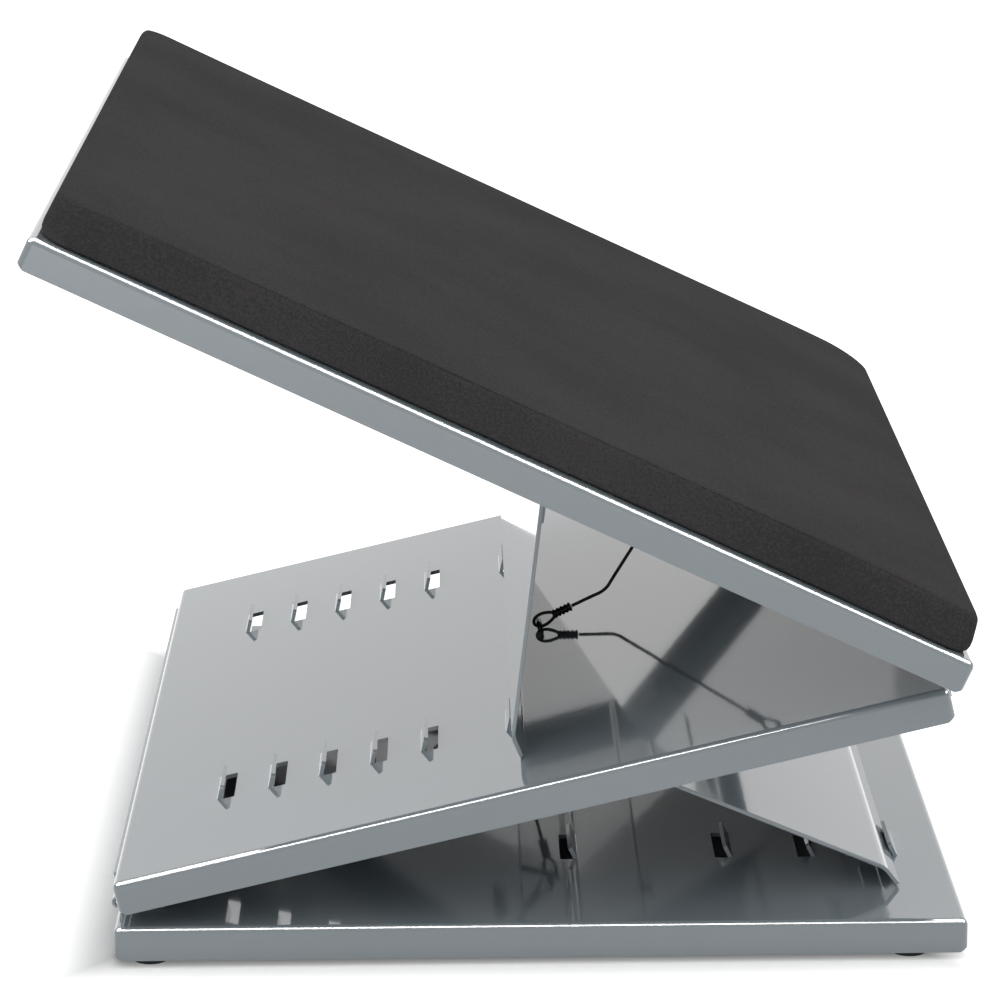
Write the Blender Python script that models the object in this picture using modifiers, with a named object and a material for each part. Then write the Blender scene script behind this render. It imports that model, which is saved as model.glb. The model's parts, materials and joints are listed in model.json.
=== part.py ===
# Adjustable footrest: three pressed sheet trays hinged end to end, held at their slopes by two
# props whose toes stand behind lanced tabs, with a soft pad on the top tray.
# Metres, +X towards the heel side, +Y across the feet, +Z up.

import math

import bmesh
import bpy
from mathutils import Matrix, Vector

# Sheet metal
SHEET = 0.0015
BEND_RADIUS = 0.0025
SEAM = 0.0003
TRAY_HEIGHT = 0.012
FRAME_LENGTH = 0.300
FRAME_WIDTH = 0.410
TOP_LENGTH = 0.3525
TOP_WIDTH = 0.450
CORNER_CUT = 0.0035

# Piano hinges between the trays
BARREL_RADIUS = 0.0022
PIN_RADIUS = 0.0010
PIN_CLEARANCE = 0.0003
LEAF = 0.0010
HINGE_SIDE_INSET = 0.022
KNUCKLES = 11
BASE_LEAF_REACH = 0.016
FLANGE_LEAF_REACH = 0.0095
BASE_HINGE_INSET = 0.0003
BASE_HINGE_DROP = 0.0014
TOP_HINGE_RISE = 0.0002
TOP_HINGE_DROP = 0.0020
TOP_HINGE_OFFSET = 0.0016

# Props
PROP_BARREL_RADIUS = 0.0020
PROP_START = 0.0030
PROP_HINGE_INSET = 0.012
WING_REACH = 0.027
TRAY_LEAF_REACH = 0.020
NECK_SETBACK = 0.00125
LOWER_PROP_PLACE = 0.1697
LOWER_TOE_INSET = 0.01466
LOWER_PROP_WIDTH = 0.336
UPPER_PROP_PLACE = 0.1545
UPPER_PROP_LENGTH = 0.10307
UPPER_PROP_WIDTH = 0.339
LIP_LENGTH = 0.0082
LIP_BEND = math.radians(30)
TOE_CORNER = 0.001

# Settings, as the slope of each prop from the tray that it stands on; the first is in use
LOWER_SLOPES = [math.radians(a) for a in (23.27, 31, 40, 53, 75)]
UPPER_SLOPE = math.radians(70.25)
UPPER_FIRST_STEP = 0.0320
UPPER_PITCH = 0.01915
UPPER_SPARE_SETTINGS = 5

# Lanced tabs
LANCE_LENGTH = 0.0295
LANCE_HEIGHT = 0.0045
LANCE_SLOT = 0.0048
LANCE_LEAN = math.radians(26)
LANCE_THINNING = 0.0001
LANCE_CORNER = 0.0015
LANCE_ROW = 0.117
LANCE_SEAT = 0.0020

# Rubber feet
FOOT_RADIUS = 0.0065
FOOT_TAPER = 0.0004
FOOT_PROUD = 0.0024
FOOT_INSET_HINGE = 0.0124
FOOT_INSET_TOE = 0.0200
FOOT_INSET_SIDE = 0.0090
SCREW_RADIUS = 0.0017
SCREW_HEAD_RADIUS = 0.0032
SCREW_HEAD_HEIGHT = 0.0016
SCREW_RECESS = 0.0028
NUT_HEIGHT = 0.0030
NUT_ACROSS_FLATS = 0.0075

# Pad
PAD_INSET_TOE = 0.0020
PAD_INSET_HEEL = 0.0015
PAD_INSET_SIDE = 0.0040
PAD_SIDE = 0.0150
PAD_CROWN = 0.0020
PAD_CORNER = 0.0120
PAD_UNDERCUT = 0.0010
PAD_LEAN = 0.0020
PAD_CREASE = 0.0030
PAD_SHOULDER = 0.0120
PAD_CROWN_REACH = 0.0420
PAD_CORNER_STEPS = 6

# Stop cables
CABLE_RADIUS = 0.00065
LOOP_LENGTH = 0.0095
LOOP_WIDTH = 0.0058
LOOP_TUCK = 0.0015
FERRULE_LENGTH = 0.0080
FERRULE_RADIUS = 0.0018
FERRULE_GROOVE = 0.0003
STAPLE_WIRE = 0.0009
STAPLE_WIDTH = 0.0090
STAPLE_HEIGHT = 0.0029
LOWER_STAPLE_BASE = 0.146
LOWER_STAPLE_TRAY = 0.1615
UPPER_STAPLE_MIDDLE = 0.1585
UPPER_STAPLE_TOP = 0.086
LOWER_END_SLOPES = (math.radians(172), math.radians(-105))
UPPER_END_SLOPES = (math.radians(25.6), math.radians(-122))
LOWER_ROUTE = [(0.1190, 0.0009, 0.0141), (0.1122, 0.0073, 0.0132), (0.1170, 0.0158, 0.0132),
               (0.1313, 0.0165, 0.0153), (0.1445, 0.0085, 0.0233), (0.1508, 0.0013, 0.0350)]
UPPER_ROUTE = [(0.1741, 0, 0.0769), (0.1779, 0, 0.0787), (0.1805, 0, 0.0810),
               (0.1827, 0, 0.0846), (0.1900, 0, 0.0963), (0.2010, 0, 0.1140)]

# Colours
STEEL = (0.30, 0.33, 0.36, 1.0)
PLATED = (0.50, 0.51, 0.52, 1.0)
BLACK = (0.02, 0.02, 0.02, 1.0)
PAD_GREY = (0.055, 0.053, 0.055, 1.0)

SIDES = 16
BEND_STEPS = 3

HINGE_OFFSET = SEAM + BARREL_RADIUS
PROP_OFFSET = SHEET / 2 + SEAM + PROP_BARREL_RADIUS
PROP_AXIS_DROP = SHEET + SEAM + SHEET / 2 + PROP_OFFSET
LOWER_PROP_LENGTH = FRAME_LENGTH - LOWER_PROP_PLACE - LOWER_TOE_INSET


def clear_scene():
    for item in list(bpy.data.objects):
        bpy.data.objects.remove(item, do_unlink=True)


def make_collection(name):
    collection = bpy.data.collections.new(name)
    bpy.context.scene.collection.children.link(collection)
    return collection


def make_material(name, colour, roughness, metallic):
    material = bpy.data.materials.new(name)
    material.use_nodes = True
    shader = material.node_tree.nodes["Principled BSDF"]
    shader.inputs["Base Color"].default_value = colour
    shader.inputs["Roughness"].default_value = roughness
    shader.inputs["Metallic"].default_value = metallic
    return material


clear_scene()
PARTS = make_collection("footrest")
CUTTERS = make_collection("footrest_cutters")


def add_object(name, mesh, parent=None, location=(0, 0, 0), finish=(STEEL, 0.35, 0.9)):
    obj = bpy.data.objects.new(name, mesh)
    PARTS.objects.link(obj)
    obj.parent = parent
    obj.location = location
    if not mesh.materials:
        mesh.materials.append(make_material(name, *finish))
    return obj


def add_axis(name, parent, location, turn):
    """An empty on a joint's axis, turned about +Y."""
    empty = bpy.data.objects.new(name, None)
    PARTS.objects.link(empty)
    empty.parent = parent
    empty.location = location
    empty.rotation_euler = (0, turn, 0)
    return empty


def mesh_from(bm, name):
    bmesh.ops.recalc_face_normals(bm, faces=bm.faces)
    mesh = bpy.data.meshes.new(name)
    bm.to_mesh(mesh)
    bm.free()
    return mesh


def add_box(bm, low, high):
    size = [b - a for a, b in zip(low, high)]
    centre = [(a + b) / 2 for a, b in zip(low, high)]
    place = Matrix.Translation(centre) @ Matrix.Diagonal((*size, 1))
    return bmesh.ops.create_cube(bm, size=1, matrix=place)["verts"]


def add_rod(bm, radius, low_y, high_y, sides=SIDES):
    """A cylinder along Y on the local axis."""
    place = Matrix.Translation((0, (low_y + high_y) / 2, 0)) @ Matrix.Rotation(math.pi / 2, 4, "X")
    bmesh.ops.create_cone(bm, cap_ends=True, segments=sides, radius1=radius, radius2=radius,
                          depth=high_y - low_y, matrix=place)


def add_cutter(name, bm, parent):
    cutter = bpy.data.objects.new(name, mesh_from(bm, name))
    CUTTERS.objects.link(cutter)
    cutter.parent = parent
    cutter.hide_render = True
    cutter.display_type = "WIRE"
    return cutter


def boolean(obj, cutter, operation):
    modifier = obj.modifiers.new(cutter.name, "BOOLEAN")
    modifier.operation = operation
    modifier.solver = "EXACT"
    modifier.object = cutter
    return modifier


def round_edges(obj, width, segments, angle=30):
    modifier = obj.modifiers.new("rounded edges", "BEVEL")
    modifier.width = width
    modifier.segments = segments
    modifier.limit_method = "ANGLE"
    modifier.angle_limit = math.radians(angle)
    return modifier


def solidify(obj, thickness, offset):
    modifier = obj.modifiers.new("sheet", "SOLIDIFY")
    modifier.thickness = thickness
    modifier.offset = offset
    modifier.use_even_offset = True
    return modifier


def bent_sheet(path, width, corner=0.0):
    """An open strip through points of the XZ plane, square across Y, its last corners rounded."""
    bm = bmesh.new()
    rows = [[bm.verts.new((x, y, z)) for y in (-width / 2, width / 2)] for x, z in path]
    for first, second in zip(rows, rows[1:]):
        bm.faces.new((first[0], second[0], second[1], first[1]))
    if corner:
        bmesh.ops.bevel(bm, geom=rows[-1], offset=corner, segments=3, profile=0.5,
                        affect="VERTICES", offset_type="OFFSET")
    return bm


def lance_strip(root, side, centre_y):
    """The bent-up tab of one lance: it starts inside the sheet and leans over its slot."""
    middle = -SHEET / 2
    lean = side * math.tan(LANCE_LEAN)
    foot = root - side * SHEET / 2 * (1 / math.cos(LANCE_LEAN) + math.tan(LANCE_LEAN))
    path = [(foot - side * LANCE_SEAT, middle), (foot, middle),
            (foot + lean * (LANCE_HEIGHT - middle), LANCE_HEIGHT)]
    bm = bent_sheet(path, LANCE_LENGTH - 2 * SEAM, LANCE_CORNER)
    bmesh.ops.translate(bm, verts=bm.verts, vec=(0, centre_y, 0))
    return bm


def add_lances(tray, roots, side, top_z, origin_x):
    """Slots cut through the tray's top and the tabs that were bent up out of them."""
    slots = bmesh.new()
    tabs = bmesh.new()
    for root in roots:
        for centre_y in (-LANCE_ROW, LANCE_ROW):
            ends = sorted((root, root + side * LANCE_SLOT))
            add_box(slots, (ends[0], centre_y - LANCE_LENGTH / 2, -2 * SHEET),
                    (ends[1], centre_y + LANCE_LENGTH / 2, SHEET))
            strip = lance_strip(root, side, centre_y)
            mesh = bpy.data.meshes.new("tab")
            strip.to_mesh(mesh)
            strip.free()
            tabs.from_mesh(mesh)
            bpy.data.meshes.remove(mesh)
    for bm in (slots, tabs):
        bmesh.ops.translate(bm, verts=bm.verts, vec=(origin_x, 0, top_z))
    slot_cutter = add_cutter(tray.name + "_slots", slots, tray.parent)
    slot_cutter.location = tray.location
    boolean(tray, slot_cutter, "DIFFERENCE")
    tab_cutter = add_cutter(tray.name + "_tabs", tabs, tray.parent)
    tab_cutter.location = tray.location
    round_edges(tab_cutter, SHEET / 2, 2, 20)
    solidify(tab_cutter, SHEET - LANCE_THINNING, 0)
    boolean(tray, tab_cutter, "UNION")


def add_tray(name, parent, location, length, width):
    """A sheet tray, open below: origin at the middle of its low left edge."""
    bm = bmesh.new()
    add_box(bm, (0, -width / 2, 0), (length, width / 2, TRAY_HEIGHT))
    bottom = [f for f in bm.faces if f.calc_center_median().z < TRAY_HEIGHT * 0.1]
    bmesh.ops.delete(bm, geom=bottom, context="FACES_ONLY")
    tray = add_object(name, mesh_from(bm, name), parent, location)
    round_edges(tray, BEND_RADIUS, BEND_STEPS)
    solidify(tray, SHEET, -1)
    margin = 0.001
    bm = bmesh.new()
    verts = add_box(bm, (-margin, -width / 2 - margin, -margin),
                    (length + margin, width / 2 + margin, TRAY_HEIGHT + margin))
    low = [v for v in verts if v.co.z < 0]
    bmesh.ops.bevel(bm, geom=low, offset=CORNER_CUT + 3 * margin, segments=4, profile=0.5,
                    affect="VERTICES", offset_type="OFFSET")
    outline = add_cutter(name + "_corners", bm, parent)
    outline.location = location
    boolean(tray, outline, "INTERSECT")
    return tray


def hinge_leaf(name, parent, path, barrel, length, keeps_even, thickness=LEAF):
    """One leaf of a piano hinge: bent plate and barrel, notched for the other leaf's knuckles."""
    leaf = add_object(name, mesh_from(bent_sheet(path, length), name), parent)
    if len(path) > 2:
        round_edges(leaf, thickness * 0.8, 2, 20)
    solidify(leaf, thickness, 0)
    bm = bmesh.new()
    add_rod(bm, barrel, -length / 2, length / 2)
    boolean(leaf, add_cutter(name + "_barrel", bm, parent), "UNION")
    pitch = length / KNUCKLES
    reach = barrel + SEAM
    notches = bmesh.new()
    for cell in range(1 if keeps_even else 0, KNUCKLES, 2):
        low = -length / 2 + cell * pitch - SEAM / 2
        high = low + pitch + SEAM
        if cell == 0:
            low -= reach
        if cell == KNUCKLES - 1:
            high += reach
        add_box(notches, (-reach, low, -reach), (reach, high, reach))
    boolean(leaf, add_cutter(name + "_notches", notches, parent), "DIFFERENCE")
    bm = bmesh.new()
    add_rod(bm, PIN_RADIUS + PIN_CLEARANCE, -length, length)
    boolean(leaf, add_cutter(name + "_bore", bm, parent), "DIFFERENCE")
    return leaf


def hinge_pin(name, parent, length):
    bm = bmesh.new()
    add_rod(bm, PIN_RADIUS, -length / 2, length / 2)
    pin = add_object(name, mesh_from(bm, name), parent, finish=(PLATED, 0.3, 1.0))
    pin.data.shade_smooth()
    pin.data.set_sharp_from_angle(angle=math.radians(40))
    return pin


def add_prop(name, parent, length, width, side):
    """A prop flap along local +X, offset from its hinge axis, ending in a bent lip."""
    offset = side * PROP_OFFSET
    toe_x, toe_z = toe_of(length)
    path = [(PROP_START, offset), (length, offset), (toe_x, side * toe_z)]
    prop = add_object(name, mesh_from(bent_sheet(path, width, TOE_CORNER), name), parent)
    round_edges(prop, SHEET, 3, 20)
    solidify(prop, SHEET, 0)
    return prop


def toe_of(length):
    """The middle of the lip's end, from the prop's hinge axis."""
    x = length + LIP_LENGTH * math.cos(LIP_BEND)
    z = PROP_OFFSET - LIP_LENGTH * math.sin(LIP_BEND)
    return x, z


def toe_height(slope):
    """The toe's middle above the tray, where its lower edge rests."""
    return SEAM + SHEET / 2 * abs(math.cos(slope + LIP_BEND))


def tab_distance(slope):
    """From the toe's middle to the root of the tab that it stands behind, along the tray."""
    lip = slope + LIP_BEND
    height = toe_height(slope)
    lean = math.tan(LANCE_LEAN)
    edge_height = height + SHEET / 2 * math.cos(lip)
    at_edge = SHEET / 2 * math.sin(lip) + edge_height * lean + SEAM / math.cos(LANCE_LEAN)
    tip = LANCE_HEIGHT - SHEET / 2 * math.sin(LANCE_LEAN)
    at_tip = tip * lean + (SEAM + SHEET / 2 - (tip - height) * math.cos(lip)) / math.sin(lip)
    return max(at_edge, at_tip)


def add_prop_hinge(name, tray_axis, prop_axis, side, plate_width):
    """Two leaves and a pin: one leaf under the tray, one on the prop's inner face."""
    length = plate_width - 2 * PROP_HINGE_INSET
    under = PROP_AXIS_DROP - SHEET - SEAM - LEAF / 2
    tray_path = [(-side * TRAY_LEAF_REACH, under), (-side * NECK_SETBACK, under),
                 (-side * NECK_SETBACK, 0)]
    leaf = hinge_leaf(name + "_tray_leaf", tray_axis, tray_path, PROP_BARREL_RADIUS, length, True)
    wing_z = side * (PROP_BARREL_RADIUS - LEAF / 2)
    hinge_leaf(name + "_wing", prop_axis, [(0, wing_z), (WING_REACH, wing_z)],
               PROP_BARREL_RADIUS, length, False)
    hinge_pin(name + "_pin", tray_axis, length)
    return leaf


def add_staple_window(leaf, staple_x):
    """A notch in a leaf's free edge, round a staple that is welded to the tray beside it."""
    side = STAPLE_WIDTH / 2 + STAPLE_WIRE + 5 * SEAM
    bm = bmesh.new()
    add_box(bm, (staple_x - TRAY_LEAF_REACH, -side, 0),
            (staple_x + STAPLE_WIRE + CABLE_RADIUS * 2 + 5 * SEAM, side, PROP_AXIS_DROP))
    boolean(leaf, add_cutter(leaf.name + "_window", bm, leaf.parent), "DIFFERENCE")


def turned(name, profile, parent, location, finish, closed):
    """A solid of revolution about Z from an outline that runs down its outer side."""
    bm = bmesh.new()
    verts = [bm.verts.new((r, 0, z)) for r, z in profile]
    for first, second in zip(verts, verts[1:]):
        bm.edges.new((first, second))
    if closed:
        bm.edges.new((verts[-1], verts[0]))
    mesh = bpy.data.meshes.new(name)
    bm.to_mesh(mesh)
    bm.free()
    obj = add_object(name, mesh, parent, location, finish)
    screw = obj.modifiers.new("turn", "SCREW")
    screw.steps = SIDES
    screw.render_steps = SIDES
    screw.use_merge_vertices = True
    screw.merge_threshold = 0.00001
    return obj


def add_nut(name, parent, place, low, bore):
    bm = bmesh.new()
    radius = NUT_ACROSS_FLATS / 2 / math.cos(math.pi / 6)
    middle = Matrix.Translation((0, 0, low + NUT_HEIGHT / 2))
    bmesh.ops.create_cone(bm, cap_ends=True, segments=6, radius1=radius, radius2=radius,
                          depth=NUT_HEIGHT, matrix=middle)
    nut = add_object(name, mesh_from(bm, name), parent, place, (PLATED, 0.4, 1.0))
    bm = bmesh.new()
    bmesh.ops.create_cone(bm, cap_ends=True, segments=SIDES, radius1=bore, radius2=bore,
                          depth=2 * NUT_HEIGHT, matrix=middle)
    cutter = add_cutter(name + "_bore", bm, parent)
    cutter.location = place
    boolean(nut, cutter, "DIFFERENCE")


def add_feet(root):
    """Four rubber feet, each held up to a weld nut under the plate by a screw in its recess."""
    ceiling = TRAY_HEIGHT - SHEET - SEAM
    nut_low = ceiling - NUT_HEIGHT
    foot_top = nut_low - SEAM
    bore = SCREW_RADIUS + SEAM
    recess = SCREW_HEAD_RADIUS + SEAM
    recess_top = SCREW_RECESS - FOOT_PROUD
    low_radius = FOOT_RADIUS - FOOT_TAPER
    profile = [(bore, foot_top), (FOOT_RADIUS, foot_top), (FOOT_RADIUS, 0),
               (low_radius, -FOOT_PROUD + FOOT_TAPER), (low_radius - FOOT_TAPER, -FOOT_PROUD),
               (recess, -FOOT_PROUD), (recess, recess_top), (bore, recess_top)]
    head_top = recess_top - SEAM
    head_low = head_top - SCREW_HEAD_HEIGHT
    screw_profile = [(0, ceiling - SEAM), (SCREW_RADIUS, ceiling - SEAM), (SCREW_RADIUS, head_top),
                     (SCREW_HEAD_RADIUS, head_top), (SCREW_HEAD_RADIUS, head_top - SCREW_HEAD_HEIGHT / 2),
                     (SCREW_HEAD_RADIUS * 0.75, head_low), (0, head_low)]
    left = FOOT_INSET_HINGE
    right = FRAME_LENGTH - FOOT_INSET_TOE
    side = FRAME_WIDTH / 2 - FOOT_INSET_SIDE
    places = {"front_left": (left, -side, 0), "front_right": (right, -side, 0),
              "back_left": (left, side, 0), "back_right": (right, side, 0)}
    for corner, place in places.items():
        turned("rubber_foot_" + corner, profile, root, place, (BLACK, 0.8, 0.0), True)
        turned("foot_screw_" + corner, screw_profile, root, place, (PLATED, 0.3, 1.0), False)
        add_nut("foot_weld_nut_" + corner, root, place, nut_low, bore)


def add_pad(parent, top_z, right_x):
    """The pad: rounded corners, sides drawn in below, a creased shoulder and a low crown."""
    length = TOP_LENGTH - PAD_INSET_TOE - PAD_INSET_HEEL
    width = TOP_WIDTH - 2 * PAD_INSET_SIDE
    rings = [(PAD_UNDERCUT, 0), (0, 2 * PAD_UNDERCUT), (PAD_LEAN, PAD_SIDE),
             (PAD_LEAN + PAD_CREASE, PAD_SIDE + 0.45 * PAD_CROWN),
             (PAD_SHOULDER, PAD_SIDE + 0.75 * PAD_CROWN), (PAD_CROWN_REACH, PAD_SIDE + PAD_CROWN)]
    bm = bmesh.new()
    loops = []
    for inset, z in rings:
        corner = max(PAD_CORNER - inset, PAD_CORNER / 4)
        loop = []
        for quarter in range(4):
            for step in range(PAD_CORNER_STEPS + 1):
                a = (quarter + step / PAD_CORNER_STEPS) * math.pi / 2
                x = (length / 2 - inset - corner) * (1, -1, -1, 1)[quarter] + corner * math.cos(a)
                y = (width / 2 - inset - corner) * (1, 1, -1, -1)[quarter] + corner * math.sin(a)
                loop.append(bm.verts.new((x - length / 2, y, z)))
        loops.append(loop)
    for low, high in zip(loops, loops[1:]):
        for i in range(len(low)):
            j = (i + 1) % len(low)
            bm.faces.new((low[i], low[j], high[j], high[i]))
    bm.faces.new(reversed(loops[0]))
    bm.faces.new(loops[-1])
    place = (right_x - PAD_INSET_HEEL, 0, top_z)
    return add_object("foot_pad", mesh_from(bm, "foot_pad"), parent, place, (PAD_GREY, 0.9, 0.0))


def tube_mesh(name, points, radius, cyclic, resolution):
    """A closed tube mesh along points."""
    curve = bpy.data.curves.new(name, "CURVE")
    curve.dimensions = "3D"
    curve.bevel_depth = radius
    curve.bevel_resolution = resolution
    curve.use_fill_caps = True
    spline = curve.splines.new("POLY")
    spline.points.add(len(points) - 1)
    for point, place in zip(spline.points, points):
        point.co = (*place, 1)
    spline.use_cyclic_u = cyclic
    guide = bpy.data.objects.new(name + "_guide", curve)
    CUTTERS.objects.link(guide)
    evaluated = guide.evaluated_get(bpy.context.evaluated_depsgraph_get())
    mesh = bpy.data.meshes.new_from_object(evaluated)
    bpy.data.objects.remove(guide, do_unlink=True)
    bm = bmesh.new()
    bm.from_mesh(mesh)
    bpy.data.meshes.remove(mesh)
    bmesh.ops.remove_doubles(bm, verts=bm.verts, dist=0.00001)
    return mesh_from(bm, name)


def add_staple(name, parent, place, turn):
    """A wire staple welded to the sheet, its bridge along Y; local +Z leaves the sheet."""
    radius = STAPLE_WIRE
    half = STAPLE_WIDTH / 2
    bend = 2 * radius
    points = [(0, -half, SEAM), (0, -half, STAPLE_HEIGHT - bend)]
    points += [(0, -half + bend * (1 - math.cos(a)), STAPLE_HEIGHT - bend * (1 - math.sin(a)))
               for a in (math.pi / 4, math.pi / 2)]
    points += [(x, -y, z) for x, y, z in reversed(points)]
    wire = tube_mesh(name, points, radius, False, 2)
    staple = add_object(name, wire, parent, place, (BLACK, 0.5, 0.2))
    staple.rotation_euler = (0, turn, 0)
    return staple


def add_loop_end(name, parent, place, turn):
    """A cable loop round a staple's bridge, closed by a grooved crimp ferrule along local +X."""
    steps = 20
    start = STAPLE_WIRE + CABLE_RADIUS + SEAM
    points = []
    for step in range(steps):
        a = 2 * math.pi * step / steps
        swell = abs(math.sin(a / 2)) ** 0.7
        along = LOOP_LENGTH * (1 + math.cos(a)) / 2 - start
        points.append((along, 0, LOOP_WIDTH / 2 * math.sin(a) * swell))
    wire = tube_mesh(name, points, CABLE_RADIUS, True, 1)
    end = add_object(name, wire, parent, place, (BLACK, 0.45, 0.3))
    end.rotation_euler = (0, turn, 0)
    low = LOOP_LENGTH - start - LOOP_TUCK
    outline = [(0, FERRULE_LENGTH), (FERRULE_RADIUS, FERRULE_LENGTH)]
    for crimp in (2, 1):
        middle = crimp * FERRULE_LENGTH / 3
        outline += [(FERRULE_RADIUS, middle + 2 * FERRULE_GROOVE),
                    (FERRULE_RADIUS - FERRULE_GROOVE, middle),
                    (FERRULE_RADIUS, middle - 2 * FERRULE_GROOVE)]
    outline += [(FERRULE_RADIUS, 0), (0, 0)]
    ferrule = turned(name + "_ferrule", outline, parent, place, (BLACK, 0.45, 0.3), False)
    PARTS.objects.unlink(ferrule)
    CUTTERS.objects.link(ferrule)
    ferrule.hide_render = True
    ferrule.display_type = "WIRE"
    ferrule.rotation_euler = (0, turn + math.pi / 2, 0)
    ferrule.location = Vector(place) + Matrix.Rotation(turn, 3, "Y") @ Vector((low, 0, 0))
    boolean(end, ferrule, "UNION")
    return end


def smooth_route(points, spacing):
    """Points at even spacing on a smooth curve through the route's own points."""
    route = [Vector(p) for p in points]
    padded = [2 * route[0] - route[1]] + route + [2 * route[-1] - route[-2]]
    fine = []
    for a, b, c, d in zip(padded, padded[1:], padded[2:], padded[3:]):
        for step in range(24):
            t = step / 24
            fine.append(0.5 * (2 * b + (c - a) * t + (2 * a - 5 * b + 4 * c - d) * t * t
                               + (3 * b - 3 * c + d - a) * t ** 3))
    fine.append(route[-1])
    lengths = [0.0]
    for first, second in zip(fine, fine[1:]):
        lengths.append(lengths[-1] + (second - first).length)
    count = max(2, round(lengths[-1] / spacing))
    result = []
    index = 0
    for step in range(count + 1):
        goal = lengths[-1] * step / count
        while index < len(fine) - 2 and lengths[index + 1] < goal:
            index += 1
        span = lengths[index + 1] - lengths[index]
        share = (goal - lengths[index]) / span if span else 0
        result.append(fine[index].lerp(fine[index + 1], share))
    return result, lengths[-1]


def add_stop_cable(name, ends, slopes, route):
    """A stop cable: a staple and a crimped loop at each end, and the free stretch between."""
    bpy.context.view_layer.update()
    reach = LOOP_LENGTH - STAPLE_WIRE - CABLE_RADIUS - LOOP_TUCK + FERRULE_LENGTH
    tips = []
    for (label, frame, x, z, flip), slope in zip(ends, slopes):
        turn = math.pi if flip else 0
        add_staple(name + "_" + label + "_staple", frame, (x, 0, z), turn)
        height = -STAPLE_HEIGHT if flip else STAPLE_HEIGHT
        bridge = frame.matrix_world @ Vector((x, 0, z + height))
        local_turn = -slope - frame.matrix_world.to_euler().y
        add_loop_end(name + "_" + label + "_loop", frame, (x, 0, z + height), local_turn)
        along = Vector((math.cos(slope), 0, math.sin(slope)))
        tips.append((bridge + along * reach, along))
    (first, first_way), (last, last_way) = tips
    lead = 2 * CABLE_RADIUS
    points = [first, first + first_way * lead] + [Vector(p) for p in route]
    points += [last + last_way * lead, last]
    path, length = smooth_route(points, 4 * CABLE_RADIUS)
    tube = tube_mesh(name, path, CABLE_RADIUS, False, 2)
    cable = add_object(name, tube, finish=(BLACK, 0.5, 0.2))
    cable.data.shade_smooth()
    print(name, "between bridges, mm:", round(1000 * (length + 2 * reach), 1))
    return cable


def stand_on_origin(root):
    """Moves the whole object so that it stands centred over the origin."""
    bpy.context.view_layer.update()
    graph = bpy.context.evaluated_depsgraph_get()
    xs = []
    for obj in PARTS.objects:
        if obj.type == "MESH":
            shape = obj.evaluated_get(graph)
            xs += [(shape.matrix_world @ Vector(corner)).x for corner in shape.bound_box]
    root.location = (-(min(xs) + max(xs)) / 2, 0, FOOT_PROUD)


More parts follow.
